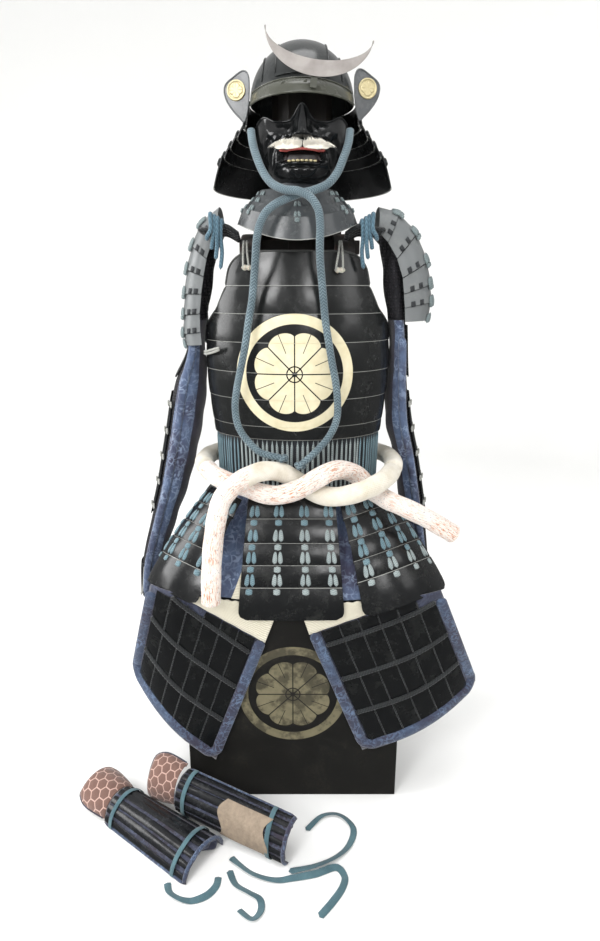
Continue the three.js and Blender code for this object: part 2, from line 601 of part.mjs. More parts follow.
// ---- face mask with its throat guard ----
function buildMask() {
  const rows = [
    { z: 1342, a: 36, b: 76 }, { z: 1352, a: 52, b: 84 }, { z: 1366, a: 64, b: 87 },
    { z: 1378, a: 73, b: 87 }, { z: 1396, a: 81, b: 87 }, { z: 1412, a: 86, b: 88 },
    { z: 1428, a: 89, b: 86 }, { z: 1446, a: 89, b: 80, eye: 1 },
  ].reverse();
  const nose = (x, z) => {
    const up = Math.max(0, 1 - Math.abs(z - 1420) / (z > 1420 ? 52 : 8));
    return 22 * up * Math.exp(-((x / 13) ** 2));
  };
  const cheek = (x) => 26 * Math.exp(-((x / 16) ** 2)) + 13 * Math.exp(-(((Math.abs(x) - 72) / 16) ** 2));
  const shaped = rows.map((row) => ({ ...row, reach: 88, lift: row.eye ? cheek : undefined }));
  const mouthRow = rows.findIndex((row) => row.z === 1396);
  const opening = (i, j) => i === mouthRow && j > 4 && j < 11;
  addPiece("mask_face", curvedPlate(shaped, { ...mask, relief: nose, opening }), "lacquer");

  const rings = Array.from({ length: 9 }, (_, i) => {
    const angle = mix(-38, 38, i / 8) * deg;
    const share = 1 - (Math.abs(i - 4) / 4.6) ** 3;
    const [x, y] = [mask.x + 4 + 96 * Math.sin(angle), mask.y - 96 * Math.cos(angle)];
    const centre = vec(x, y, 1403 - (3 * Math.abs(i - 4)) / 4);
    return Array.from({ length: 8 }, (_, j) => {
      const turn = (j / 8) * 2 * Math.PI;
      const out = vec(Math.sin(angle), -Math.cos(angle), 0).multiplyScalar(5 * share * Math.cos(turn));
      return centre.clone().add(out).add(vec(0, 0, 9 * share * Math.sin(turn)));
    });
  });
  addPiece("mask_moustache", solidThrough(rings), "hair");

  const lames = [
    { top: 1332, bottom: 1315, aTop: 74, aBottom: 80, bTop: 66, bBottom: 74, reach: 84, rise: [6, 12] },
    { top: 1317, bottom: 1298, aTop: 83, aBottom: 92, bTop: 77, bBottom: 84, reach: 85, rise: [12, 18] },
    { top: 1300, bottom: 1279, aTop: 95, aBottom: 106, bTop: 87, bBottom: 93, reach: 86, rise: [18, 24] },
    { top: 1281, bottom: 1239, aTop: 109, aBottom: 121, bTop: 96, bBottom: 101, reach: 87, rise: [24, 36] },
  ];
  const bowed = (rise, a) => (x) => rise * (x / a) ** 2;
  lames.forEach(({ top, bottom, aTop, aBottom, bTop, bBottom, reach, rise }, i) => {
    const plateRows = [{ z: top, a: aTop, b: bTop, reach, lift: bowed(rise[0], aTop) },
      { z: bottom, a: aBottom, b: bBottom, reach, lift: bowed(rise[1], aBottom) }];
    addPiece("throat_lame_" + (i + 1), curvedPlate(plateRows, throat), "greyLacquer");
  });
}

// ---- chin cords: each runs from one jaw under the chin and hangs down the other side ----
const chinRoutes = {
  left: [[-76, -116, 1438], [-72, -132, 1412], [-64, -146, 1385], [-52, -160, 1358], [-36, -173, 1337],
    [-13, -185, 1325], [13, -193, 1321], [35, -197, 1310], [49, -196, 1290], [53, -192, 1264],
    [53, -186, 1236], [54, -172, 1205], [58, -156, 1168], [62, -151, 1130], [66, -150, 1092],
    [73, -151, 1050], [80, -153, 1010], [88, -152, 970], [93, -148, 930], [92, -145, 892],
    [78, -148, 858], [50, -156, 826], [16, -168, 798]],
  right: [[110, -116, 1438], [106, -132, 1412], [97, -144, 1385], [85, -155, 1358], [67, -165, 1337],
    [42, -168, 1326], [15, -168, 1320], [-9, -173, 1311], [-30, -183, 1300], [-47, -190, 1285],
    [-58, -192, 1264], [-64, -188, 1240], [-68, -174, 1208], [-73, -155, 1170], [-78, -149, 1130],
    [-86, -148, 1088], [-94, -148, 1040], [-104, -147, 995], [-113, -144, 955], [-118, -142, 915],
    [-112, -144, 876], [-92, -148, 845], [-66, -152, 822], [-20, -160, 812]],
};

function buildChinCords() {
  for (const [name, route] of Object.entries(chinRoutes)) {
    const cord = solidOf(tubeAlong(route, chinCord.diameter, chinCord.sides, chinCord.steps));
    const end = route[route.length - 1];
    const knot = solidOf(new THREE.SphereGeometry(chinCord.knot, 8, 6).translate(...end));
    addPiece("chin_cord_" + name, geometryOf(cord.add(knot)), "lacing");
  }
}

// ---- shin guards on the ground ----
// Each lies along its axis from the knee pad's end; roll leans it on its near edge, flare widens it at the
// ankle and shift moves the pad sideways across it.
const shinGuards = [
  { name: "left", start: [-475, -202], end: [-182, -398], roll: 0, pad: 92, w: 48, h: 54,
    flare: 0.25, shift: 2 },
  { name: "right", start: [-311, -173], end: [15, -356], roll: 65, pad: 84, w: 48, h: 40,
    flare: 0, shift: 12 },
];

function buildShinGuard({ name, start, end, roll, pad, w, h, flare, shift }) {
  const along = vec(end[0] - start[0], end[1] - start[1], 0);
  const length = along.length();
  along.normalize();
  const across = vec(-along.y, along.x, 0);
  const place = (s, side, up) => {
    const turn = roll * deg;
    const lateral = -w + (side + w) * Math.cos(turn) - up * Math.sin(turn);
    const height = (side + w) * Math.sin(turn) + up * Math.cos(turn);
    const base = vec(start[0], start[1], Math.max(0, height));
    return base.addScaledVector(along, s).addScaledVector(across, lateral);
  };
  const plate = (sections, wall, aside = 0) => {
    const grid = (inset) =>
      sections.map(({ s, width, height, reach }) =>
        Array.from({ length: 11 }, (_, j) => {
          const angle = mix(-reach, reach, j / 10) * deg;
          return place(s, aside + (width - inset) * Math.sin(angle), (height - inset) * Math.cos(angle));
        }),
      );
    return wallBetween(grid(0), grid(wall));
  };
  const guard = [0, 0.25, 0.5, 0.75, 1].map((t) => ({
    s: mix(pad + gap, length, t), width: w * (1 + flare * t), height: h * (1 - 0.12 * t), reach: 90,
  }));
  addPiece("shin_guard_" + name, plate(guard, 3), "lacquer");
  const padShape = [[0, 40, 1.1], [0.12, 58, 1.22], [0.35, 72, 1.25], [0.7, 78, 1.15], [1, 82, 1.02]];
  const padRows = padShape.map(([t, reach, swell]) => ({
    s: pad * t, width: w * swell, height: h * swell, reach,
  }));
  addPiece("knee_pad_" + name, plate(padRows, 10, shift), "kikko");
}

// Cotton tapes that tie the shin guards, lying loose on the ground.
const tapeRoutes = {
  left_loop: [[-252, -440, 1.2], [-244, -461, 1.2], [-230, -472, 1.2], [-209, -479, 1.2],
    [-186, -478, 1.2], [-165, -468, 1.2], [-152, -449, 1.2], [-150, -427, 1.2]],
  left_end: [[-130, -382, 1.2], [-112, -399, 1.2], [-83, -421, 1.2], [-38, -435, 1.2], [2, -431, 1.2],
    [47, -423, 1.2], [93, -408, 1.2], [107, -427, 1.2], [101, -453, 1.2], [78, -486, 1.2],
    [53, -513, 1.2]],
  middle_end: [[-130, -412, 1.2], [-113, -446, 1.2], [-84, -464, 1.2], [-62, -478, 1.2],
    [-60, -502, 1.2], [-74, -518, 1.2], [-104, -498, 1.2]],
  right_loop: [[29, -314, 1.2], [69, -274, 1.2], [105, -273, 1.2], [134, -308, 1.2], [122, -352, 1.4],
    [94, -384, 4.4], [48, -406, 4.4], [-8, -418, 4.4]],
};

function buildTapes() {
  for (const [name, route] of Object.entries(tapeRoutes)) {
    addPiece("shin_tape_" + name, strapAlong(route, { ...tape, steps: 14 }), "lacing");
  }
}

buildChest();
buildStand();
buildCuirass();
buildWaist();
tassets.forEach(buildTasset);
buildBelt();
thighPanels.forEach(buildThighPanel);
buildApron();
shoulderGuards.forEach(buildShoulderGuard);
for (const [name, rows] of Object.entries(sleeves)) buildSleeve(name, rows);
buildHelmet();
buildTurnbacks();
buildCrest();
buildMask();
buildChinCords();
shinGuards.forEach(buildShinGuard);
buildTapes();

export default armour;
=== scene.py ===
import math
import random

import bmesh
import bpy
from mathutils import Matrix, Vector


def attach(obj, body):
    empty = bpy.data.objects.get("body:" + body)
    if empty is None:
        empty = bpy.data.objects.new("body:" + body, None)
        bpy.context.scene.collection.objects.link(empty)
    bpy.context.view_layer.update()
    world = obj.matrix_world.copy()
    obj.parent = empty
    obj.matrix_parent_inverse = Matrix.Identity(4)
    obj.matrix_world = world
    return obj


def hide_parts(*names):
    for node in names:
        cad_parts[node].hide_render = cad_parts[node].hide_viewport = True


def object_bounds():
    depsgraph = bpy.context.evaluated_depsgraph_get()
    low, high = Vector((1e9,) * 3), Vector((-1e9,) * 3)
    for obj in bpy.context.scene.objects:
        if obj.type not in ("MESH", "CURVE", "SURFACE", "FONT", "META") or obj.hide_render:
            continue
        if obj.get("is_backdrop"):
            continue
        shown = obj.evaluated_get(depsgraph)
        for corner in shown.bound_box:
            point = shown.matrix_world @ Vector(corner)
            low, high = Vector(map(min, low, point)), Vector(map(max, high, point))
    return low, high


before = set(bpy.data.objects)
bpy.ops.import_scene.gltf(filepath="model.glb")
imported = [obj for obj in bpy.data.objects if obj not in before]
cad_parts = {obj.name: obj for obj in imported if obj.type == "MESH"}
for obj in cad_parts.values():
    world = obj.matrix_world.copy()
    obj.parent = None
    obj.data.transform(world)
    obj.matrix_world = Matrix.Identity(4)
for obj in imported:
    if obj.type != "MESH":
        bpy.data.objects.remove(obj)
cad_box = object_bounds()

# ---- camera ----
# A standing person's view of the armour on its chest, tipped down so that the ground in front of it shows too.
camera = bpy.data.objects.new("camera", bpy.data.cameras.new("camera"))
bpy.context.scene.collection.objects.link(camera)
bpy.context.scene.camera = camera
camera.location = (0.016, -1.420, 1.153)
camera.rotation_euler = (math.radians(90 - 16.26), 0, 0)
camera.data.sensor_width = 36
camera.data.lens = 23.95
camera.data.clip_start = 0.05

# ---- chin cords ----
# Two round cords of braided silk, 15 mm thick, tie the helmet on. Each comes out at a jaw of the mask, crosses under
# the chin and hangs down over the cuirass to an end knot of its own.


def linear(code):
    """An sRGB colour such as #a0b0c0 as the linear colour that a shader takes."""
    parts = [int(code[i : i + 2], 16) / 255 for i in (1, 3, 5)]
    return (*[p / 12.92 if p <= 0.04045 else ((p + 0.055) / 1.055) ** 2.4 for p in parts], 1)


def join(tree, node, links):
    """Sets each named input of a node, or links it where the value is another node's output."""
    for key, value in links.items():
        if isinstance(value, bpy.types.NodeSocket):
            tree.links.new(value, node.inputs[key])
        else:
            node.inputs[key].default_value = value


def add(tree, kind, links, out=0, **settings):
    """Adds one node with its settings and links, and gives the output that is wanted from it."""
    node = tree.nodes.new("ShaderNode" + kind)
    for key, value in settings.items():
        setattr(node, key, value)
    join(tree, node, links)
    return node.outputs[out]


def finish_of(name):
    """A new material, its node tree, and its surface shader."""
    material = bpy.data.materials.new(name)
    material.use_nodes = True
    return material, material.node_tree, material.node_tree.nodes["Principled BSDF"]


def braid(name, light, dark, strand=0.0034):
    """Braided silk: slanting strands that cross at the middle of each ridge, soft sheen, aged in patches between the
    light and dark colours, and painted shade: the dark colour fills the grooves between the strands.
    """
    material, tree, shader = finish_of(name)
    net = add(tree, "UVMap", {})
    across = add(tree, "SeparateXYZ", {0: net})
    along = across.node.outputs[1]
    fold = add(tree, "Math", {0: across, 1: strand * 2}, operation="PINGPONG")
    slant = add(tree, "Math", {0: along, 1: fold}, operation="ADD")
    saw = add(tree, "Math", {0: slant, 1: strand}, operation="PINGPONG")
    ridge = add(tree, "MapRange", {0: saw, 1: 0.0, 2: strand})
    place = add(tree, "TexCoord", {}, 3)
    age = add(tree, "TexNoise", {"Vector": place, "Scale": 35, "Detail": 4})
    thread = add(tree, "TexNoise", {"Vector": place, "Scale": 900, "Detail": 2})
    depth = add(tree, "Math", {0: ridge, 1: thread}, operation="MULTIPLY")
    # Where tone falls in the grooves between the strands, the dark colour is painted in as shade.
    tone = add(tree, "MapRange", {0: depth, 1: 0.04, 2: 0.45})
    aged = add(tree, "Mix", {0: age, 6: linear(light), 7: linear(dark)}, 2, data_type="RGBA")
    colour = add(tree, "Mix", {0: tone, 6: linear(dark), 7: aged}, 2, data_type="RGBA")
    bump = add(tree, "Bump", {"Height": depth, "Distance": 0.0012, "Strength": 0.8})
    join(tree, shader, {"Base Color": colour, "Normal": bump, "Roughness": 0.75})
    join(tree, shader, {"Sheen Weight": 0.25, "Sheen Roughness": 0.4})
    return material


def centreline(points, steps=12):
    """A smooth line through the given points, with steps points to each span."""
    given = [Vector(p) for p in points]
    given = [2 * given[0] - given[1], *given, 2 * given[-1] - given[-2]]
    line = []
    for a, b, c, d in zip(given, given[1:], given[2:], given[3:]):
        tb = (b - a).length ** 0.5
        tc = tb + (c - b).length ** 0.5
        td = tc + (d - c).length ** 0.5
        for i in range(steps):
            t = tb + (tc - tb) * i / steps
            ab, bc, cd = a.lerp(b, t / tb), b.lerp(c, (t - tb) / (tc - tb)), c.lerp(d, (t - tc) / (td - tc))
            line.append(ab.lerp(bc, t / tc).lerp(bc.lerp(cd, (t - tb) / (td - tb)), (t - tb) / (tc - tb)))
    return line + [given[-2]]


def length_of(line):
    return sum((b - a).length for a, b in zip(line, line[1:]))


def add_net(bm, columns, rows, shape, away=None, real=(1000, 1000), finish=0):
    """Adds a net of quads to bm. shape(u, v), in mm, places its crossings, and real is the net's true width and length,
    which its UV map runs in metres. An open net turns its face from the point away, and a closed one turns outward."""
    net = bmesh.ops.create_grid(bm, x_segments=columns, y_segments=rows, size=0.5, calc_uvs=True)["verts"]
    faces = list({f for v in net for f in v.link_faces})
    for v in net:
        v.co = Vector(shape(v.co.x + 0.5, v.co.y + 0.5)) / 1000
    map_uv = bm.loops.layers.uv.active
    for f in faces:
        f.smooth = True
        f.material_index = finish
        for corner in f.loops:
            corner[map_uv].uv *= Vector(real) / 1000
    bmesh.ops.remove_doubles(bm, verts=net, dist=1e-5)
    faces = [f for f in faces if f.is_valid]
    if away is None:
        bmesh.ops.recalc_face_normals(bm, faces=faces)
        return
    for f in faces:
        f.normal_update()
    centre = Vector(away) / 1000
    if sum(f.normal.dot(f.calc_center_median() - centre) * f.calc_area() for f in faces) < 0:
        bmesh.ops.reverse_faces(bm, faces=faces)


def new_bmesh():
    bm = bmesh.new()
    bm.loops.layers.uv.new("net")
    return bm


def make_piece(name, bm, finishes, stands_for=(), wall=0, edge=0, rounds=0, body="armour"):
    """Turns bm into a piece: wall mm is its thickness inwards, edge mm the rounding of its edges."""
    mesh = bpy.data.meshes.new(name)
    bm.to_mesh(mesh)
    bm.free()
    for material in finishes:
        mesh.materials.append(material)
    piece = bpy.data.objects.new(name, mesh)
    bpy.context.scene.collection.objects.link(piece)
    if rounds:
        smooth = piece.modifiers.new("smooth", "SUBSURF")
        smooth.levels = smooth.render_levels = rounds
    if wall:
        thick = piece.modifiers.new("wall", "SOLIDIFY")
        thick.thickness = wall / 1000
        thick.offset = -1
    if edge:
        round_off = piece.modifiers.new("edge", "BEVEL")
        round_off.width = edge / 1000
        round_off.segments = 2
        round_off.angle_limit = math.radians(50)
        round_off.harden_normals = True
    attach(piece, body)
    if stands_for:
        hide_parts(*stands_for)
    return piece


def add_tube(bm, line, radius, sides=8, finish=0, flat=1.0, up=(0, 0, 1), taper=True):
    """Adds a closed tube along a line of points in mm. flat squeezes its section along up."""
    length = length_of(line)
    side_at = []
    side = None
    for i in range(len(line)):
        ahead = (line[min(i + 1, len(line) - 1)] - line[max(i - 1, 0)]).normalized()
        if side is None or up != (0, 0, 1):
            side = ahead.cross(Vector(up))
            if side.length < 0.05:
                side = ahead.cross(Vector((0, 1, 0)))
        side = (side - ahead * side.dot(ahead)).normalized()
        side_at.append((side.copy(), side.cross(ahead)))
    rows = len(line) - 1

    def shape(u, v):
        i = round(v * rows)
        size = 0.0 if taper and i in (0, rows) else radius
        turn = 2 * math.pi * u
        across, over = side_at[i]
        return line[i] + size * (math.cos(turn) * across + flat * math.sin(turn) * over)

    add_net(bm, sides, rows, shape, real=(2 * math.pi * radius, length), finish=finish)


chin_silk = braid("braided_silk_blue_grey", "#8fa3ab", "#2e4049", strand=0.0028)
chin_routes = {
    "left": [
        (-76, -116, 1438), (-72, -132, 1412), (-64, -146, 1385), (-52, -160, 1358), (-36, -173, 1337),
        (-13, -185, 1325),
        (13, -193, 1321), (35, -197, 1310), (49, -196, 1290), (53, -192, 1264), (53, -186, 1236), (54, -172, 1205),
        (58, -156, 1168), (62, -151, 1130), (66, -150, 1092), (73, -151, 1050), (80, -153, 1010), (88, -152, 970),
        (93, -148, 930), (92, -145, 892), (78, -148, 858), (50, -156, 826), (16, -168, 798),
    ],
    "right": [
        (110, -116, 1438), (106, -132, 1412), (97, -144, 1385), (85, -155, 1358), (67, -165, 1337), (42, -168, 1326),
        (15, -168, 1320), (-9, -173, 1311), (-30, -183, 1300), (-47, -190, 1285), (-58, -192, 1264), (-64, -188, 1240),
        (-68, -174, 1208), (-73, -155, 1170), (-78, -149, 1130), (-86, -148, 1088), (-94, -148, 1040),
        (-104, -147, 995),
        (-113, -144, 955), (-118, -142, 915), (-112, -144, 876), (-92, -148, 845), (-66, -152, 822), (-20, -160, 812),
    ],
}
for side, route in chin_routes.items():
    line = centreline(route, 10)
    bm = new_bmesh()
    add_tube(bm, line, 7.5, sides=16)
    cord = make_piece(f"chin_silk_{side}", bm, [chin_silk], [f"chin_cord_{side}"])
    bm = new_bmesh()
    knot = [
        Vector((math.sin(t) + 2 * math.sin(2 * t), math.cos(t) - 2 * math.cos(2 * t), -1.1 * math.sin(3 * t)))
        for t in (2 * math.pi * i / 60 for i in range(61))
    ]
    add_tube(bm, [line[-1] + 2.7 * p for p in knot], 5.2, sides=10, taper=False)
    tie = make_piece(f"chin_knot_{side}", bm, [chin_silk])

# ---- shin guard tapes ----
# Flat cotton tapes, 14 mm wide and 2 mm thick, that tie the shin guards round the calf. Undone, they trail on the
# ground in front of the chest in loose turns.


def weave(name, light, dark, pitch=0.0016, shine=0.2, strength=0.6):
    """Plain-woven cotton: threads over and under at the given pitch, drawn a little coarse so that they show."""
    material, tree, shader = finish_of(name)
    net = add(tree, "UVMap", {})
    across = add(tree, "SeparateXYZ", {0: net})
    along = across.node.outputs[1]
    warp = add(tree, "Math", {0: across, 1: math.pi / pitch}, operation="MULTIPLY")
    warp = add(tree, "Math", {0: warp}, operation="SINE")
    weft = add(tree, "Math", {0: along, 1: math.pi / pitch}, operation="MULTIPLY")
    weft = add(tree, "Math", {0: weft}, operation="SINE")
    thread = add(tree, "Math", {0: warp, 1: weft}, operation="MULTIPLY")
    place = add(tree, "TexCoord", {}, 3)
    stain = add(tree, "TexNoise", {"Vector": place, "Scale": 22, "Detail": 5, "Roughness": 0.65})
    tone = add(tree, "MapRange", {0: stain, 1: 0.35, 2: 0.7})
    colour = add(tree, "Mix", {0: tone, 6: linear(light), 7: linear(dark)}, 2, data_type="RGBA")
    bump = add(tree, "Bump", {"Height": thread, "Distance": 0.0004, "Strength": strength})
    join(tree, shader, {"Base Color": colour, "Normal": bump, "Roughness": 0.85, "Sheen Weight": shine})
    return material


tape_cotton = weave("woven_cotton_tape_teal", "#496870", "#324e57")
tape_lift = 1.2  # the height of a tape's middle where it lies flat
tapes = {
    "left_loop": [
        (-252, -440), (-244, -461), (-230, -472), (-209, -479), (-186, -478), (-165, -468), (-152, -449),
        (-150, -427),
    ],
    "left_end": [
        (-130, -382), (-112, -399), (-83, -421), (-38, -435), (2, -431), (47, -423), (93, -408), (107, -427),
        (101, -453), (78, -486), (53, -513),
    ],
    "middle_end": [(-130, -412), (-113, -446), (-84, -464), (-62, -478), (-60, -502), (-74, -518), (-104, -498)],
    "right_loop": [
        (29, -314, 1.2), (69, -274, 1.2), (105, -273, 1.2), (134, -308, 1.2), (122, -352, 1.4), (94, -384, 4.4),
        (48, -406, 4.4), (-8, -418, 4.4),
    ],
}
for name, route in tapes.items():
    line = centreline([(*p, tape_lift)[:3] for p in route], 10)
    rows = len(line) - 1

    def tape(u, v):
        i = round(v * rows)
        ahead = (line[min(i + 1, rows)] - line[max(i - 1, 0)]).normalized()
        across = ahead.cross(Vector((0, 0, 1))).normalized()
        turn = 2 * math.pi * u
        size = 0.0 if i in (0, rows) else 1.0
        wide = 7 * math.copysign(abs(math.cos(turn)) ** 0.35, math.cos(turn))
        lean = 0.42 * math.sin(i / 11)
        upright = Vector((0, 0, wide * math.sin(lean) + 7 * abs(math.sin(lean)) + math.sin(turn) * math.cos(lean)))
        return line[i] + size * (wide * math.cos(lean) * across + upright)

    bm = new_bmesh()
    add_net(bm, 12, rows, tape, real=(30, length_of(line)))
    strip = make_piece(f"tape_{name}", bm, [tape_cotton], [f"shin_tape_{name}"])

# ---- studio ----
# A round white backdrop that curves up from the floor, and five large soft lights: two in front, one from the right,
# one overhead, and one like a window on the left, which shines along the black lacquer.
bm = bmesh.new()
profile = [(0, 0), (3.2, 0)] + [
    (3.2 + 1.2 * math.sin(math.radians(a)), 1.2 - 1.2 * math.cos(math.radians(a))) for a in range(10, 91, 10)
] + [(4.4, 5.5)]
rim = [bm.verts.new((x, 0, z - 0.0006)) for x, z in profile]
edges = [bm.edges.new(pair) for pair in zip(rim, rim[1:])]
bmesh.ops.spin(bm, geom=rim + edges, cent=(0, 0, 0), axis=(0, 0, 1), angle=2 * math.pi, steps=72, use_merge=True)
bmesh.ops.remove_doubles(bm, verts=bm.verts, dist=1e-5)
for f in bm.faces:
    f.smooth = True
    f.normal_update()
    if f.normal.dot(Vector((0, 0, 2)) - f.calc_center_median()) < 0:
        f.normal_flip()
mesh = bpy.data.meshes.new("backdrop")
bm.to_mesh(mesh)
bm.free()
backdrop = bpy.data.objects.new("backdrop", mesh)
bpy.context.scene.collection.objects.link(backdrop)
backdrop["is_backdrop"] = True
backdrop.visible_glossy = False
paper, tree, shader = finish_of("white_backdrop_paper")
place = add(tree, "TexCoord", {}, 3)
cloud = add(tree, "TexNoise", {"Vector": place, "Scale": 0.6, "Detail": 2})
colour = add(tree, "Mix", {0: cloud, 6: linear("#f0f0ef"), 7: linear("#eaeae9")}, 2, data_type="RGBA")
join(tree, shader, {"Base Color": colour, "Roughness": 0.9, "Specular IOR Level": 0.1})
mesh.materials.append(paper)

world = bpy.data.worlds.new("soft_white_room")
world.use_nodes = True
up = add(world.node_tree, "SeparateXYZ", {0: add(world.node_tree, "TexCoord", {}, 0)}, 2)
sky = add(world.node_tree, "MapRange", {0: up, 1: -0.2, 2: 0.9, 3: 0.2, 4: 0.85})
join(world.node_tree, world.node_tree.nodes["Background"], {0: linear("#ffffff"), 1: sky})
bpy.context.scene.world = world
bpy.context.scene.view_settings.view_transform = "Standard"
for name, spot, size, power in (
    ("key", (-1.6, -2.9, 2.5), 1.0, 62),
    ("front", (0.8, -3.3, 2.2), 0.8, 24),
    ("fill", (2.7, -1.9, 2.2), 1.2, 16),
    ("top", (0.1, -0.5, 3.9), 1.6, 45),
    ("side", (-2.8, -0.1, 1.9), 1.8, 80),
):
    lamp = bpy.data.lights.new(name, "AREA")
    lamp.size = size
    lamp.energy = power
    light = bpy.data.objects.new(name, lamp)
    bpy.context.scene.collection.objects.link(light)
    light.location = spot
    light.rotation_euler = (Vector((0.02, 0, 0.9)) - Vector(spot)).to_track_quat("-Z", "Y").to_euler()
    light.visible_camera = False

# ---- storage chest ----
# The armour's own chest, which carries it for show: boards under dark brown lacquer, with a loose lid that has a lip.
# A ring and rosette in worn gold paint mark its front. It is dusty.


def rosette(tree, place, x, z, front, vein=0.0011):
    """Masks a painted device on a face that looks along -Y: a broad ring 242 mm across round an eight-lobed rosette
    with fine unpainted lines between its petals."""
    shifted = add(tree, "VectorMath", {0: place, 1: (x, 0, z)}, operation="SUBTRACT")
    across = add(tree, "SeparateXYZ", {0: shifted})
    depth, up = across.node.outputs[1], across.node.outputs[2]
    flat = add(tree, "CombineXYZ", {0: across, 1: up})
    radius = add(tree, "VectorMath", {0: flat}, 1, operation="LENGTH")
    angle = add(tree, "Math", {0: up, 1: across}, operation="ARCTAN2")
    band = add(tree, "Math", {0: add(tree, "Math", {0: radius, 1: 0.1105}, operation="SUBTRACT")}, operation="ABSOLUTE")
    ring = add(tree, "MapRange", {0: band, 1: 0.0105, 2: 0.0098})
    wave = add(tree, "Math", {0: add(tree, "Math", {0: angle, 1: 4}, operation="MULTIPLY")}, operation="SINE")
    lobe = add(tree, "Math", {0: add(tree, "Math", {0: wave}, operation="ABSOLUTE"), 1: 0.45}, operation="POWER")
    reach = add(tree, "Math", {0: lobe, 1: 0.014, 2: 0.072}, operation="MULTIPLY_ADD")
    past = add(tree, "Math", {0: radius, 1: reach}, operation="SUBTRACT")
    petals = add(tree, "MapRange", {0: past, 1: 0.0004, 2: -0.0004})
    seam = add(tree, "Math", {0: add(tree, "Math", {0: wave}, operation="ABSOLUTE"), 1: radius}, operation="MULTIPLY")
    cut = add(tree, "MapRange", {0: seam, 1: vein * 4, 2: vein * 5.5})
    twin = add(tree, "Math", {0: add(tree, "Math", {0: angle, 1: 4}, operation="MULTIPLY")}, operation="COSINE")
    twin = add(tree, "Math", {0: add(tree, "Math", {0: twin}, operation="ABSOLUTE"), 1: radius}, operation="MULTIPLY")
    rib = add(tree, "MapRange", {0: twin, 1: vein * 2.2, 2: vein * 3.4})
    inner = add(tree, "MapRange", {0: radius, 1: 0.046, 2: 0.045, 3: 0.0, 4: 1.0})
    rib = add(tree, "Math", {0: rib, 1: inner}, operation="MAXIMUM")
    hub = add(tree, "Math", {0: add(tree, "Math", {0: radius, 1: 0.016}, operation="SUBTRACT")}, operation="ABSOLUTE")
    hub = add(tree, "MapRange", {0: hub, 1: 0.0011, 2: 0.0016})
    petals = add(tree, "Math", {0: petals, 1: cut}, operation="MULTIPLY")
    petals = add(tree, "Math", {0: petals, 1: rib}, operation="MULTIPLY")
    petals = add(tree, "Math", {0: petals, 1: hub}, operation="MULTIPLY")
    mark = add(tree, "Math", {0: ring, 1: petals}, operation="MAXIMUM")
    facing = add(tree, "Math", {0: depth, 1: front}, operation="LESS_THAN")
    return add(tree, "Math", {0: mark, 1: facing}, operation="MULTIPLY")


def lacquer(
    name, body, dust, gloss=0.16, dull=0.34, crest=None, gilt="#e3dcc2", patina="#c6ba94", worn=0.72, waves=0.5,
    painted_edge_highlight=None,
):
    """Lacquer brushed over iron or wood: a deep gloss that ripples a little, with dust and handling marks on it.
    crest paints the rosette in gold; given an edge height, a pale line that many metres tall is painted along the lower
    edge of each plate as a painted highlight."""
    material, tree, shader = finish_of(name)
    place = add(tree, "TexCoord", {}, 3)
    ripple = add(tree, "TexNoise", {"Vector": place, "Scale": 11, "Detail": 3, "Roughness": 0.45})
    marks = add(tree, "TexNoise", {"Vector": place, "Scale": 170, "Detail": 7, "Roughness": 0.75})
    cloud = add(tree, "TexNoise", {"Vector": place, "Scale": 26, "Detail": 5, "Roughness": 0.6})
    dusty = add(tree, "Math", {0: marks, 1: cloud}, operation="MULTIPLY")
    dusty = add(tree, "MapRange", {0: dusty, 1: 0.27, 2: 0.5, 3: 0.0, 4: 0.32})
    colour = add(tree, "Mix", {0: dusty, 6: linear(body), 7: linear(dust)}, 2, data_type="RGBA")
    rough = add(tree, "MapRange", {0: cloud, 1: 0.3, 2: 0.7, 3: gloss, 4: dull})
    # A pale grey line along the lower edge of each plate: a painted highlight where the edge would catch the light.
    if painted_edge_highlight:
        along = add(tree, "SeparateXYZ", {0: add(tree, "UVMap", {})}, 1)
        lip = add(tree, "MapRange", {0: along, 1: painted_edge_highlight * 1.2, 2: painted_edge_highlight * 0.8})
        colour = add(tree, "Mix", {0: lip, 6: colour, 7: linear("#8b8c88")}, 2, data_type="RGBA")
    if crest:
        rub = add(tree, "MapRange", {0: cloud, 1: worn, 2: worn + 0.12, 3: 1.0, 4: 0.35})
        mark = add(tree, "Math", {0: rosette(tree, place, *crest), 1: rub}, operation="MULTIPLY")
        fine = add(tree, "TexNoise", {"Vector": place, "Scale": 60, "Detail": 6})
        gold = add(tree, "Mix", {0: fine, 6: linear(gilt), 7: linear(patina)}, 2, data_type="RGBA")
        colour = add(tree, "Mix", {0: mark, 6: colour, 7: gold}, 2, data_type="RGBA")
        rough = add(tree, "Mix", {0: mark, 2: rough, 3: 0.48}, 0, data_type="FLOAT")
        metal = add(tree, "Math", {0: mark, 1: 0.12}, operation="MULTIPLY")
        join(tree, shader, {"Metallic": metal})
    bump = add(tree, "Bump", {"Height": ripple, "Distance": 0.004, "Strength": waves})
    bump = add(tree, "Bump", {"Height": marks, "Distance": 0.00025, "Strength": 0.25, "Normal": bump})
    join(tree, shader, {"Base Color": colour, "Roughness": rough, "Normal": bump, "Specular IOR Level": 0.32})
    return material


chest_lacquer = lacquer(
    "dusty_brown_lacquer_on_boards", "#171614", "#3f3b30", gloss=0.34, dull=0.6, crest=(0.0, 0.276, -0.2),
    gilt="#7f785f", patina="#5f5a46", worn=0.45, waves=0.25,
)


def dress(node, material, edge=0):
    """Gives a CAD node its finish, and a small rounding to its edges."""
    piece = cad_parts[node]
    for place in piece.material_slots:
        place.material = material
    if not piece.material_slots:
        piece.data.materials.append(material)
    if edge:
        weld = piece.modifiers.new("weld", "WELD")
        weld.merge_threshold = 0.00002
        round_off = piece.modifiers.new("edge", "BEVEL")
        round_off.width = edge / 1000
        round_off.segments = 3
        round_off.angle_limit = math.radians(50)


dress("chest_body", chest_lacquer, 1.5)
dress("chest_lid", chest_lacquer, 1.5)
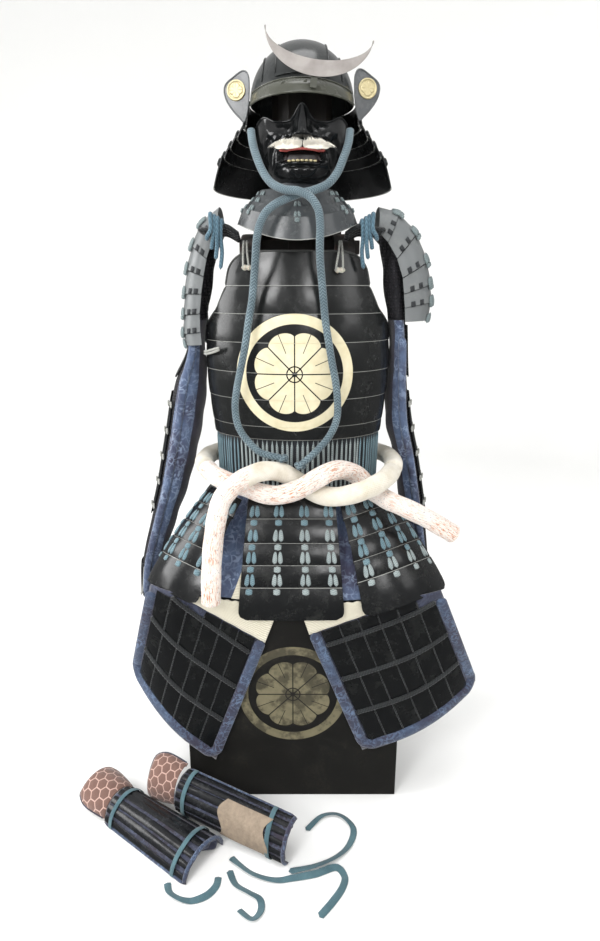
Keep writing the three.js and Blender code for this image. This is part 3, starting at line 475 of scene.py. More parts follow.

# ---- stand ----
# A plain wooden cross that stands on the chest inside the armour, with a turned head for the helmet and mask. Its
# wood is painted almost black as painted shade, for where it shows in the dark behind the mask's eyes and the armour.
stand_wood_painted_dark, tree, shader = finish_of("cedar_painted_black_as_shade")
place = add(tree, "TexCoord", {}, 3)
stretch = add(tree, "Mapping", {"Vector": place, "Scale": (90, 90, 4)})
grain = add(tree, "TexNoise", {"Vector": stretch, "Scale": 1.0, "Detail": 5, "Roughness": 0.6})
# The near-black browns are painted shade; the grain that varies them is the wood's own.
colour = add(tree, "Mix", {0: grain, 6: linear("#14110f"), 7: linear("#2a231d")}, 2, data_type="RGBA")
bump = add(tree, "Bump", {"Height": grain, "Distance": 0.0005, "Strength": 0.5})
join(tree, shader, {"Base Color": colour, "Roughness": 0.62, "Normal": bump})
dress("stand_frame", stand_wood_painted_dark, 1.2)
dress("stand_head", stand_wood_painted_dark)

# ---- cuirass ----
# A tub-sided body armour of broad iron lames, riveted one over the next and lacquered glossy black. Each lame's lower
# edge stands a little proud, and a thin light line painted along it is a painted highlight. The front carries a gold
# ring and rosette.


def between(rows, at):
    """Reads a table of (position, value, ...) rows at any position, on a smooth curve through them."""
    at = min(max(at, rows[0][0]), rows[-1][0])
    i = max(j for j in range(len(rows) - 1) if rows[j][0] <= at)
    before, a, b, after = rows[max(i - 1, 0)], rows[i], rows[i + 1], rows[min(i + 2, len(rows) - 1)]
    span = b[0] - a[0]
    t = (at - a[0]) / span
    return [
        (2 * t**3 - 3 * t**2 + 1) * a[k] + (3 * t**2 - 2 * t**3) * b[k]
        + (t**3 - 2 * t**2 + t) * span * (b[k] - before[k]) / (b[0] - before[0])
        + (t**3 - t**2) * span * (after[k] - a[k]) / (after[0] - a[0])
        for k in range(1, len(a))
    ]


cuirass_rows = [
    (842, 188, 128), (870, 191.5, 130), (928, 198, 135), (984, 202, 138), (1045, 201, 136), (1102, 196, 131),
    (1158, 187, 124), (1240, 168, 110),
]


def cuirass_at(side, angle, z, lift):
    """A point of the cuirass: side -1 is its front and 1 its back."""
    a, b = between(cuirass_rows, z)
    turn = math.radians(angle)
    return 11 + (a + lift) * math.sin(turn), side * (b + lift) * math.cos(turn), z


def side_reach(z):
    """How far round, in degrees, a lame goes at this height: the armholes start above the third seam."""
    if z <= 1068:
        return 89.7
    if z <= 1112:
        return 89.7 - 29.7 * ((z - 1068) / 44) ** 0.7
    return 60 - 8.5 * (z - 1112) / 46


front_lacquer = lacquer(
    "black_lacquer_with_gold_rosette", "#1b1c1c", "#4b4d4c", gloss=0.13, dull=0.3, crest=(0.005, 0.983, -0.02),
    painted_edge_highlight=0.0012,
)
black_lacquer = lacquer("black_lacquer_on_iron", "#191a1b", "#4a4c4b", gloss=0.14, dull=0.32, painted_edge_highlight=0.0012)
# The rims are lacquered a lighter grey than the plates.
pale_rim_lacquer = lacquer("pale_grey_lacquer_rim", "#3a3b3a", "#77776f", gloss=0.25, dull=0.45)
lame_heights = [(842, 871), (870, 929), (928, 985), (984, 1046), (1045, 1103), (1102, 1158)]
for side, name, finish in ((-1, "front", front_lacquer), (1, "back", black_lacquer)):
    bm = new_bmesh()
    for low, high in lame_heights:

        def lame(u, v):
            z = low + (high - low) * v
            lift = 1.2 * (1 - v) + 0.9 * math.sin(math.pi * v) ** 0.7
            return cuirass_at(side, (2 * u - 1) * side_reach(z), z, lift)

        add_net(bm, 56, 8, lame, away=(11, 0, (low + high) / 2), real=(600, high - low))
    if side == 1:
        top = [(1158, 51.5), (1190, 51), (1222, 46), (1238, 34)]

        def yoke(u, v):
            z = 1157 + 81 * v
            return cuirass_at(1, (2 * u - 1) * between(top, z)[0], z, 1.2 * (1 - v))

        add_net(bm, 40, 12, yoke, away=(11, 0, 1190), real=(330, 81))
    make_piece(f"cuirass_lames_{name}", bm, [finish], [f"cuirass_{name}"], wall=2.4, edge=0.7)

breast_rows = [(1157, 51.5), (1175, 51.6), (1192, 51), (1205, 48.2), (1214, 44), (1220, 39), (1223.5, 33)]


def breast(u, v):
    z = 1157 + 66.5 * v
    return cuirass_at(-1, (2 * u - 1) * between(breast_rows, z)[0], z, 2.2 - 0.8 * v)


bm = new_bmesh()
add_net(bm, 44, 16, breast, away=(11, 0, 1190), real=(330, 67))
make_piece("breast_plate_lame", bm, [front_lacquer], ["breast_plate"], wall=2.6, edge=0.8)
bm = new_bmesh()
outline = [breast(0, i / 12) for i in range(13)] + [breast(i / 14, 1) for i in range(1, 14)]
outline += [breast(1, 1 - i / 12) for i in range(13)]
add_tube(bm, [Vector(p) for p in outline], 2.0, sides=8)
for hand in (-1, 1):
    hole = [Vector(cuirass_at(-1, hand * side_reach(z), z, 0.6)) for z in range(1060, 1159, 7)]
    add_tube(bm, hole, 1.8, sides=8)
make_piece("cuirass_rims", bm, [pale_rim_lacquer])

# ---- shoulder straps, toggles and ties ----
# Two flat straps of black leather run over the shoulders from the back, on either side of a low collar. Pale
# cord loops come down from them to horn toggles on the breast plate, and a white braid ties the left side.
strap_leather, tree, shader = finish_of("black_strap_leather")
place = add(tree, "TexCoord", {}, 3)
hide = add(tree, "TexVoronoi", {"Vector": place, "Scale": 420}, feature="F1")
wear = add(tree, "TexNoise", {"Vector": place, "Scale": 40, "Detail": 5})
tone = add(tree, "MapRange", {0: wear, 1: 0.5, 2: 0.75})
colour = add(tree, "Mix", {0: tone, 6: linear("#1d1a18"), 7: linear("#4d3527")}, 2, data_type="RGBA")
bump = add(tree, "Bump", {"Height": hide, "Distance": 0.0004, "Strength": 0.5})
join(tree, shader, {"Base Color": colour, "Roughness": 0.5, "Normal": bump})
horn, tree, shader = finish_of("pale_horn")
place = add(tree, "TexCoord", {}, 3)
streak = add(tree, "TexNoise", {"Vector": add(tree, "Mapping", {"Vector": place, "Scale": (60, 300, 300)}), "Scale": 1})
colour = add(tree, "Mix", {0: streak, 6: linear("#c9c4b6"), 7: linear("#908b7e")}, 2, data_type="RGBA")
join(tree, shader, {"Base Color": colour, "Roughness": 0.35, "Subsurface Weight": 0.1})
pale_silk = braid("braided_silk_grey_white", "#c6c6bf", "#7d7e79", strand=0.002)
strap_route = [(0, -78, 1204), (0, -62, 1240), (0, -28, 1257), (0, 28, 1257), (0, 58, 1244), (0, 70, 1214)]
strap_line = centreline(strap_route, 6)
for side, x in (("left", -85), ("right", 107)):
    rows = len(strap_line) - 1

    def strap(u, v):
        i = round(v * rows)
        ahead = (strap_line[min(i + 1, rows)] - strap_line[max(i - 1, 0)]).normalized()
        over = Vector((1, 0, 0)).cross(ahead)
        turn = 2 * math.pi * u
        size = 0.0 if i in (0, rows) else 1.0
        wide = 21 * math.copysign(abs(math.cos(turn)) ** 0.4, math.cos(turn))
        return Vector((x, 0, 0)) + strap_line[i] + size * (Vector((wide, 0, 0)) + over * 3.0 * math.sin(turn))

    bm = new_bmesh()
    add_net(bm, 16, rows, strap, real=(90, length_of(strap_line)))
    make_piece(f"shoulder_strap_pad_{side}", bm, [strap_leather], [f"shoulder_strap_{side}"])


def collar(u, v):
    """A low stand-up collar round the back of the neck opening, highest at its middle."""
    turn = math.radians(95 + 170 * u)
    foot = Vector(cuirass_at(1, 34 * math.sin(turn), 1232, -4))
    top = Vector((11 + 94 * math.sin(turn), 6 - 70 * math.cos(turn), 1266 + 24 * math.sin(math.pi * u) ** 0.5))
    return foot.lerp(top, v) + Vector((0, 0, 1.2 * math.sin(40 * u) * v))


bm = new_bmesh()
add_net(bm, 60, 10, collar, away=(11, 0, 1250), real=(330, 56))
make_piece("neck_collar", bm, [strap_leather], wall=4, edge=1.2)
for side, x, y, z in (("left", -90, -108, 1192), ("right", 95, -115, 1187)):

    def toggle(u, v):
        turn = 2 * math.pi * u
        size = 5.8 * math.sin(math.pi * v) ** 0.45 * (1 - 0.18 * math.cos(4 * math.pi * v))
        return x - 11 + 22 * v, y - 3 + size * math.cos(turn), z + size * math.sin(turn)

    bm = new_bmesh()
    add_net(bm, 12, 14, toggle, real=(31, 16))
    make_piece(f"toggle_peg_{side}", bm, [horn], [f"toggle_{side}"])
    bm = new_bmesh()
    for top, foot in ((-7, -7), (-1, 4)) if side == "left" else ((1, -8), (4, 6)):
        loop = centreline([
            (x + top, -70, 1240), (x + top, -82, 1243), (x + (top + foot) / 2, y - 1, 1216), (x + foot, y - 6, z + 3),
            (x + foot, y - 6, z - 3),
        ], 5)
        add_tube(bm, loop, 2.1, sides=8)
    make_piece(f"toggle_loops_{side}", bm, [pale_silk])
bm = new_bmesh()
for k in (0, 1):
    add_tube(bm, centreline([
        (-192, -40, 1016 + 5 * k), (-184, -66, 1018 + 5 * k), (-170, -84, 1022 + 6 * k), (-150, -101, 1030 + 4 * k),
    ], 5), 2.6, sides=8)
make_piece("side_tie_left", bm, [pale_silk])

# ---- waist lacing ----
# A hundred or so flat silk braids that hang the skirt from the cuirass, faded white in front and still blue-grey at
# the sides, in front of a dark cloth sheet that is painted shade for the dark inside of the armour.
teal_silk = braid("laced_silk_blue_grey", "#8ba3aa", "#46626d", strand=0.0022)
white_silk = braid("laced_silk_faded_white", "#b7bebc", "#6d7a7c", strand=0.0022)
# This dark cloth also serves as the painted-shade sheet behind the waist braids.
lining = weave("dark_hemp_cloth_and_painted_shade", "#22262c", "#15171b", pitch=0.002)


def waist_at(angle, v, lift):
    a, b = 184 + 3 * v + lift, 125 + 2 * v + lift
    return Vector((11 + a * math.sin(angle), -b * math.cos(angle), 722 + 119.7 * v))


chance = random.Random(11)
bm = new_bmesh()
for k in range(104):
    angle = 2 * math.pi * (k + chance.uniform(-0.12, 0.12)) / 104
    lean = chance.uniform(-0.012, 0.012)
    front = math.cos(angle) > 0.72 + chance.uniform(-0.03, 0.03)

    def strand(u, v):
        turn = 2 * math.pi * u
        size = 0.0 if v in (0.0, 1.0) else 1.0
        middle = waist_at(angle + lean * math.sin(3 * v), v, -1.4)
        round_waist = Vector((math.cos(angle), math.sin(angle), 0))
        outward = Vector((math.sin(angle), -math.cos(angle), 0))
        return middle + size * (2.9 * math.cos(turn) * round_waist + 1.3 * math.sin(turn) * outward)

    add_net(bm, 6, 8, strand, real=(14, 120), finish=0 if front else 1)
# A near-black cloth sheet just inside the braids: painted shade for the dark inside of the armour between them.
add_net(bm, 60, 4, lambda u, v: waist_at(2 * math.pi * u, v, -4.5), away=(11, 0, 780), real=(980, 120), finish=2)
make_piece("waist_braids", bm, [white_silk, teal_silk, lining], ["waist_lacing"])

# ---- skirt ----
# Seven skirts of five lacquered iron lames each, which hang below the waist and fan out over the thighs. Each lame
# laps over the one above, and is held by columns of braid that show as pairs of leaves with a square knot below.
skirt_rows = [0, 0.18, 0.38, 0.56, 0.74, 1]
# each skirt's corners at its top and foot, how far it bows out, and where its columns of braid are
skirts = {
    "front": ((-96, -133, 716), (92, -133, 716), (-116, -236, 477), (111, -236, 477), 8, (0.09, 0.36, 0.64, 0.91)),
    "front_right": ((97, -130, 710), (208, -44, 712), (147, -236, 493), (344, -130, 512), 44, (0.12, 0.38, 0.64, 0.9)),
    "front_left": (
        (-190, -40, 712), (-108, -128, 708), (-333, -90, 512), (-197, -236, 520), 38, (0.1, 0.38, 0.64, 0.9),
    ),
    "side_right": ((211, -36, 712), (188, 76, 712), (284, -84, 508), (268, 120, 508), 8, (0.12, 0.38, 0.62, 0.88)),
    "side_left": ((-166, 76, 712), (-190, -32, 712), (-272, 120, 508), (-296, -70, 508), 8, (0.12, 0.38, 0.62, 0.88)),
    "back_right": ((184, 84, 712), (15, 146, 712), (252, 176, 508), (22, 246, 508), 14, (0.1, 0.37, 0.63, 0.9)),
    "back_left": ((7, 146, 712), (-162, 84, 712), (0, 246, 508), (-256, 176, 508), 14, (0.1, 0.37, 0.63, 0.9)),
}
# The last setting paints a pale line along each lame's lower edge as a painted highlight.
skirt_lacquer = lacquer("black_lacquer_on_skirt_lames", "#121314", "#4c4e48", gloss=0.15, dull=0.33, painted_edge_highlight=0.0009)


def add_pad(bm, centre, across, down, out, wide, tall, thick, lean=0.0, finish=0, point=1.0, full=5.0):
    """Adds one tuft of braid: a low cushion on a lame, narrower at its top for a larger point, squarer when full."""

    def pad(u, v):
        turn = 2 * math.pi * u
        swell = math.sqrt(1 - abs(2 * v**point - 1) ** full) if 0 < v < 1 else 0.0
        sideways = wide / 2 * swell * math.cos(turn) + lean * (v - 0.5) * tall
        return centre + across * sideways + down * (v - 0.5) * tall + out * thick * (swell * math.sin(turn) * 0.6 + 0.3)

    add_net(bm, 8, 7, pad, real=(wide * 2, tall), finish=finish)


for name, (tl, tr, bl, br, bulge, columns) in skirts.items():
    tl, tr, bl, br = Vector(tl), Vector(tr), Vector(bl), Vector(br)

    def skirt_at(u, v, lift=0.0):
        across = (tr - tl).lerp(br - bl, v)
        down = (bl - tl).lerp(br - tr, u)
        out = down.cross(across).normalized()
        flat = tl.lerp(tr, u).lerp(bl.lerp(br, u), v)
        return flat + out * (bulge * (1 - (2 * u - 1) ** 2) * (0.55 + 0.45 * v) + 8 * math.sin(math.pi * v) + lift)

    inner = Vector((11, 0, 600))
    drop = 0.045 if name in ("front_left", "front_right") else 0
    bm = new_bmesh()
    for start, end in zip(skirt_rows, skirt_rows[1:]):
        last = end == 1

        def lame(u, t):
            v = start - 0.004 + (end + (drop if last else 0.02) - start + 0.004) * t
            if last and t > 0.72:
                u = 0.5 + (u - 0.5) * (1 - 0.16 * (1 - math.sqrt(max(0, 1 - ((t - 0.72) / 0.28) ** 2))))
            return skirt_at(u, v, 3.6 * (1 - t) + 2.2 * math.sin(math.pi * t))

        add_net(bm, 24, 10 if last else 7, lame, away=inner, real=(220, 50), finish=0)
    make_piece(f"skirt_{name}_lames", bm, [skirt_lacquer], [f"tasset_{name}"], wall=2.4, edge=0.7)
    bm = new_bmesh()
    tall = (bl - tl).length
    for row, seam in enumerate(skirt_rows[1:5]):
        for u in columns:
            here = skirt_at(u, seam)
            across = (skirt_at(u + 0.02, seam) - here).normalized()
            down = (skirt_at(u, seam + 0.02) - here).normalized()
            out = down.cross(across)
            faded = 1 if name == "front" and row >= 1 and u > 0.2 or row == 3 and name == "front_right" else 0
            for hand in (-1, 1):
                spot = skirt_at(u, seam - 18 / tall, 1.4) + across * hand * 5.6
                turn = chance.uniform(-0.02, 0.02)
                add_pad(bm, spot, across, down, out, 11, 30, 4.4, hand * 0.06 + turn, faded, 1.3, 2.4)
            add_pad(bm, skirt_at(u, seam + 8 / tall, 3), across, down, out, 15, 14, 4, turn, faded)
    make_piece(f"skirt_{name}_braids", bm, [teal_silk, white_silk])

# ---- belt ----
# A long rolled sash of cotton stuffed with hemp, about 41 mm thick. It goes round the waist, its two strands cross
# and twist in front, and its ends hang free. Both ends are woven with a red fleck, and the rest is plain white.
plain_cotton = weave("rolled_white_cotton", "#d6d1c6", "#bfb6a3", pitch=0.003, shine=0.2, strength=0.6)
fleck_cotton, tree, shader = finish_of("rolled_cotton_with_red_fleck")
net = add(tree, "UVMap", {})
yarn = add(tree, "Mapping", {"Vector": net, "Scale": (420, 60, 1)})
fleck = add(tree, "TexNoise", {"Vector": yarn, "Scale": 1.0, "Detail": 3, "Roughness": 0.7})
spots = add(tree, "MapRange", {0: fleck, 1: 0.53, 2: 0.57})
place = add(tree, "TexCoord", {}, 3)
patch = add(tree, "TexNoise", {"Vector": place, "Scale": 16, "Detail": 3})
often = add(tree, "MapRange", {0: patch, 1: 0.35, 2: 0.65, 3: 0.2, 4: 1.0})
mask = add(tree, "Math", {0: spots, 1: often}, operation="MULTIPLY")
ground = add(tree, "Mix", {0: patch, 6: linear("#dfd9d3"), 7: linear("#d0c3b9")}, 2, data_type="RGBA")
colour = add(tree, "Mix", {0: mask, 6: ground, 7: linear("#b2734c")}, 2, data_type="RGBA")
dark = add(tree, "TexNoise", {"Vector": add(tree, "Mapping", {"Vector": net, "Scale": (300, 220, 1)}), "Scale": 1.0})
dark = add(tree, "MapRange", {0: dark, 1: 0.6, 2: 0.68, 3: 0.0, 4: 0.75})
colour = add(tree, "Mix", {0: dark, 6: colour, 7: linear("#5d6472")}, 2, data_type="RGBA")
bump = add(tree, "Bump", {"Height": fleck, "Distance": 0.0008, "Strength": 0.6})
join(tree, shader, {"Base Color": colour, "Roughness": 0.9, "Normal": bump, "Sheen Weight": 0.3})
belts = {
    "roll": (plain_cotton, [
        (222, -88, 768), (231, -30, 768), (222, 50, 766), (178, 118, 764), (98, 158, 762), (15, 168, 762),
        (-68, 158, 764), (-148, 118, 766), (-192, 50, 770), (-204, -30, 773), (-194, -88, 775),
    ]),
    "plain_strand": (plain_cotton, [
        (219, -97, 768), (200, -150, 768), (170, -188, 762), (140, -198, 751), (95, -191, 738), (52, -173, 739),
        (14, -153, 757), (-20, -158, 780), (-52, -172, 788), (-84, -192, 785), (-112, -205, 772), (-140, -218, 744),
        (-153, -226, 706), (-160, -234, 664), (-164, -243, 614), (-167, -251, 564), (-169, -253, 520),
    ]),
    "woven_strand": (fleck_cotton, [
        (-191, -98, 775), (-166, -136, 768), (-132, -153, 757), (-100, -156, 748), (-66, -172, 740), (-28, -190, 741),
        (14, -197, 756), (48, -192, 776), (80, -174, 787), (112, -150, 783), (142, -132, 764), (168, -138, 737),
        (190, -150, 725), (212, -166, 717), (247, -178, 704), (290, -176, 682), (324, -172, 660), (350, -168, 642),
    ]),
}
belt_radius, rounded_end = 20.5, 9
for name, (cotton, route) in belts.items():
    line = centreline(route, 10)
    length = length_of(line)
    rows = len(line) - 1
    sides = []
    side = Vector((0, 0, 1)).cross(line[1] - line[0]).normalized()
    for i in range(rows + 1):
        ahead = (line[min(i + 1, rows)] - line[max(i - 1, 0)]).normalized()
        side = (side - ahead * side.dot(ahead)).normalized()
        sides.append((side.copy(), ahead.cross(side), ahead))

    def roll(u, v):
        i = round(v * rows)
        turn = 2 * math.pi * u
        side, over, ahead = sides[i]
        end = min(v, 1 - v) * length
        size = belt_radius * math.sqrt(max(0.0, 1 - max(0.0, 1 - end / rounded_end) ** 3))
        size *= 1 + 0.025 * math.sin(3 * turn + 0.05 * v * length) + 0.02 * math.sin(0.11 * v * length + 2 * turn)
        return line[i] + size * (math.cos(turn) * side + math.sin(turn) * over)

    bm = new_bmesh()
    add_net(bm, 28, rows, roll, real=(130, length))
    for f in bm.faces:
        f.material_index = int(name == "plain_strand" and f.calc_center_median().x < -0.088)
    belt = make_piece(f"belt_{name}_cotton", bm, [cotton, fleck_cotton], [f"belt_{name}"], rounds=1)

# ---- thigh guards ----
# An apron of blue and purple brocade hangs from the waist and ends in two panels. Each panel is faced with rows of
# small lacquered plates laced to the cloth, edged with a rolled brocade border, and topped with a ribbed cream band.


def brocade(name, ground, scroll, deep, scale=1.0):
    """Figured silk: a scroll of leaves about 25 mm across woven lighter than its ground, faded in patches, slubbed."""
    material, tree, shader = finish_of(name)
    place = add(tree, "TexCoord", {}, 3)
    bend = add(tree, "TexNoise", {"Vector": place, "Scale": 38 / scale, "Detail": 1}, 1)
    bent = add(tree, "VectorMath", {0: bend, 1: (0.03, 0.03, 0.03)}, operation="MULTIPLY")
    bent = add(tree, "VectorMath", {0: place, 1: bent}, operation="ADD")
    vine = add(tree, "TexVoronoi", {"Vector": bent, "Scale": 48 / scale}, feature="DISTANCE_TO_EDGE")
    leaf = add(tree, "TexVoronoi", {"Vector": bent, "Scale": 95 / scale}, feature="F1")
    vine = add(tree, "MapRange", {0: vine, 1: 0.07, 2: 0.02})
    leaf = add(tree, "MapRange", {0: leaf, 1: 0.42, 2: 0.3})
    figure = add(tree, "Math", {0: vine, 1: leaf}, operation="MAXIMUM")
    patch = add(tree, "TexNoise", {"Vector": place, "Scale": 9, "Detail": 4, "Roughness": 0.6})
    fade = add(tree, "MapRange", {0: patch, 1: 0.42, 2: 0.62})
    base = add(tree, "Mix", {0: fade, 6: linear(ground), 7: linear(deep)}, 2, data_type="RGBA")
    worn = add(tree, "TexNoise", {"Vector": place, "Scale": 30, "Detail": 3})
    worn = add(tree, "MapRange", {0: worn, 1: 0.35, 2: 0.65})
    show = add(tree, "Math", {0: figure, 1: worn}, operation="MULTIPLY")
    show = add(tree, "Math", {0: show, 1: 0.7}, operation="MULTIPLY")
    colour = add(tree, "Mix", {0: show, 6: base, 7: linear(scroll)}, 2, data_type="RGBA")
    slub = add(tree, "TexNoise", {"Vector": place, "Scale": 600, "Detail": 2})
    height = add(tree, "Math", {0: figure, 1: slub}, operation="ADD")
    bump = add(tree, "Bump", {"Height": height, "Distance": 0.0006, "Strength": 0.7})
    join(tree, shader, {"Base Color": colour, "Roughness": 0.72, "Normal": bump})
    join(tree, shader, {"Sheen Weight": 0.3, "Sheen Roughness": 0.5})
    return material


blue_brocade = brocade("blue_and_purple_silk_brocade", "#485a78", "#8292ab", "#2b2b44")
navy_brocade = brocade("navy_silk_brocade", "#2f3d56", "#5f7592", "#232138", 0.8)
dark_brocade = brocade("dark_indigo_silk_brocade", "#22263b", "#465068", "#1f1828")
cream_rib, tree, shader = finish_of("ribbed_cream_hemp")
net = add(tree, "UVMap", {})
row = add(tree, "SeparateXYZ", {0: net}, 1)
ribs = add(tree, "Math", {0: row, 1: 2 * math.pi / 0.0045}, operation="MULTIPLY")
ribs = add(tree, "Math", {0: ribs}, operation="SINE")
place = add(tree, "TexCoord", {}, 3)
slub = add(tree, "TexNoise", {"Vector": place, "Scale": 330, "Detail": 4, "Roughness": 0.7})
soil = add(tree, "TexNoise", {"Vector": place, "Scale": 18, "Detail": 4})
knit = add(tree, "Math", {0: ribs, 1: slub}, operation="ADD")
# The troughs between the ribs are painted darker, #b3ac98, as painted shade; the slub noise adds random thread tone.
tone = add(tree, "MapRange", {0: knit, 1: -0.6, 2: 1.1})
clean = add(tree, "Mix", {0: soil, 6: linear("#dedaca"), 7: linear("#c9c2ae")}, 2, data_type="RGBA")
colour = add(tree, "Mix", {0: tone, 6: linear("#b3ac98"), 7: clean}, 2, data_type="RGBA")
bump = add(tree, "Bump", {"Height": knit, "Distance": 0.0007, "Strength": 0.6})
join(tree, shader, {"Base Color": colour, "Roughness": 0.9, "Normal": bump, "Sheen Weight": 0.2})
plate_lacquer = lacquer("black_lacquer_on_small_plates", "#101112", "#40433f", gloss=0.14, dull=0.32)
dark_lace = braid("worn_black_lacing", "#343a3d", "#08090a", strand=0.0035)
thigh_panels = {
    "right": {
        "top": ((14, 503), (318, 530)), "line": ((36, 437), (250, 522), (320, 528)), "foot": ((159, 134), (437, 249)),
    },
    "left": {
        "top": ((-28, 503), (-306, 540)), "line": ((-60, 417), (-238, 530), (-308, 538)),
        "foot": ((-178, 107), (-377, 288)),
    },
}


corner_x, front_y, turn_back = 224, -219, 100  # where cloth leaves the chest's front, and how far it then turns back


def round_corner(x, z, edge, lift=0.0):
    """A place on a panel, which lies on the chest's front and turns back beyond its corner towards x = edge."""
    past = max(0.0, abs(x) - corner_x) / (edge - corner_x)
    back = Vector((0.89 * past * math.copysign(1, x), -1, 0)).normalized()
    return Vector((x, front_y + turn_back * past**2, z)) + back * lift


for side, panel in thigh_panels.items():
    inner, bend, outer = [Vector(p) for p in panel["line"]]
    foot = [Vector(p) for p in panel["foot"]]
    edge = abs(foot[1].x)

    def cloth_height(u):
        """The cloth's upper line drops under the cream band, so it bends once."""
        turn = (bend.x - inner.x) / (outer.x - inner.x)
        above = inner.lerp(bend, u / turn) if u < turn else bend.lerp(outer, (u - turn) / (1 - turn))
        return above, (above - foot[0].lerp(foot[1], u)).length

    def cloth_at(u, height, lift=0.0):
        """A place on the cloth, u across from its inner edge and so many millimetres up from its foot."""
        above, tall = cloth_height(u)
        x, z = foot[0].lerp(foot[1], u).lerp(above, height / tall)
        sag = -7 * math.sin(math.pi * u) * math.sin(math.pi * min(1, max(0, height / tall))) ** 0.5
        return round_corner(x, z + sag, edge, lift)

    bm = new_bmesh()
    add_net(
        bm, 40, 30, lambda u, v: cloth_at(u, (1 - v) * cloth_height(u)[1]), away=(0, 200, 320), real=(330, 330),
    )
    cloth = make_piece(f"thigh_cloth_{side}", bm, [dark_brocade], [f"thigh_guard_{side}"], wall=2.4)

    bm = new_bmesh()
    first_plate, plate_span, plate_columns = 0.075, 0.85, 6
    column_width = plate_span / plate_columns
    row_height, row_gap, foot_border = 82, 10, 16
    for row in range(4):
        low = foot_border + row * (row_height + row_gap)
        for column in range(plate_columns):
            u0, u1 = [first_plate + column_width * (column + k) for k in (0.03, 0.97)]
            tops = [min(low + row_height, cloth_height(u)[1] - 5) for u in (u0, u1)]
            if min(tops) < low + 14:
                continue

            tilt = chance.uniform(-1.2, 1.2), chance.uniform(-1.8, 1.8)

            def plate(s, t):
                bow = 2.2 * (1 - (2 * s - 1) ** 2) * (1 - (2 * t - 1) ** 2) + tilt[0] * (s - 0.5) + tilt[1] * (t - 0.5)
                high = tops[0] + (tops[1] - tops[0]) * s
                return cloth_at(u0 + (u1 - u0) * s, low + (high - low) * (1 - t), 2.6 + bow)

            add_net(bm, 6, 6, plate, away=(0, 200, 320), real=(43, 80))
    plates = make_piece(f"thigh_plates_{side}", bm, [plate_lacquer], wall=2.2, edge=0.9)

    bm = new_bmesh()
    for row in range(1, 4):
        height = foot_border + row * (row_height + row_gap) - row_gap / 2
        across = [first_plate + plate_span * k / 60 for k in range(61)]
        seam = [
            cloth_at(u, height, 2.6 + 0.7 * (k % 2)) for k, u in enumerate(across) if cloth_height(u)[1] > height + 6
        ]
        add_tube(bm, seam, 5.2, sides=8, flat=1.0, up=(0, -1, 0))
    for column in range(1, plate_columns):
        u = first_plate + column_width * column
        rise = cloth_height(u)[1] - 26
        seam = [cloth_at(u, 18 + rise * k / 48, 2.4 + 0.5 * (k % 2)) for k in range(49)]
        add_tube(bm, seam, 1.7, sides=6, up=(0, -1, 0))
    seams = make_piece(f"thigh_seams_{side}", bm, [dark_lace])

    bm = new_bmesh()
    border = [cloth_at(0.03, (cloth_height(0.03)[1] - 8) * (1 - k / 20) + 9, 3) for k in range(20)]
    border += [cloth_at(0.045 + 0.9 * k / 20, 9, 3) for k in range(1, 20)]
    border += [cloth_at(0.965, 14 + (cloth_height(0.965)[1] - 14) * k / 20, 3) for k in range(1, 20)]
    border = centreline(border, 2)
    add_tube(bm, border, 12.5, sides=14, flat=0.5, up=(0, -1, 0))
    border_roll = make_piece(f"thigh_border_{side}", bm, [navy_brocade], rounds=1)

    bm = new_bmesh()
    start, end = [Vector(p) for p in panel["top"]]
    end = start.lerp(end, (bend.x - start.x) / (end.x - start.x))

    def band_at(u, v):
        x, z = start.lerp(end, u).lerp(inner.lerp(bend, u) - Vector((0, 3)), v)
        return round_corner(x, z - 1.5 * (1 - v) + 1.2 * math.sin(75 * u) * (1 - v), edge, 3.2 + 0.7 * math.sin(30 * u))

    add_net(bm, 60, 8, band_at, away=(0, 200, 320), real=(200, 80))
    band = make_piece(f"thigh_band_{side}", bm, [cream_rib], wall=3)

bm = new_bmesh()


def apron_at(s, v, lift=0.0):
    u = 2 * s - 1
    angle = math.radians(72 * u)
    fold = (1.5 + 5 * v * (1 - v) * 4) * math.sin(26 * u) * (0.3 + 0.7 * v)
    waist = Vector((11 + 172 * math.sin(angle), -116 * math.cos(angle), 714))
    panel = thigh_panels["right" if u > 0 else "left"]["top"]
    x = abs(u) * panel[1][0]
    past = max(0.0, abs(x) - corner_x) / (abs(panel[1][0]) - corner_x)
    z = panel[0][1] + (panel[1][1] - panel[0][1]) * abs(u) + 2
    hem = Vector((x, front_y + turn_back * past**2, z))
    return waist.lerp(hem, v) + Vector((math.sin(angle), -math.cos(angle), 0)) * (fold * (1 - v**3) + lift)


add_net(bm, 90, 24, apron_at, away=(11, 60, 620), real=(600, 270))
apron = make_piece("thigh_apron_cloth", bm, [blue_brocade], ["thigh_apron"], wall=2)
bm = new_bmesh()
add_net(
    bm, 6, 24, lambda u, v: apron_at(0.335 - 0.055 * u * v - 0.01 * u + 0.02 * v, 0.35 + 0.65 * v, 2.5),
    away=(11, 60, 620), real=(34, 200),
)
strip = make_piece("thigh_apron_strip", bm, [cream_rib], wall=2)

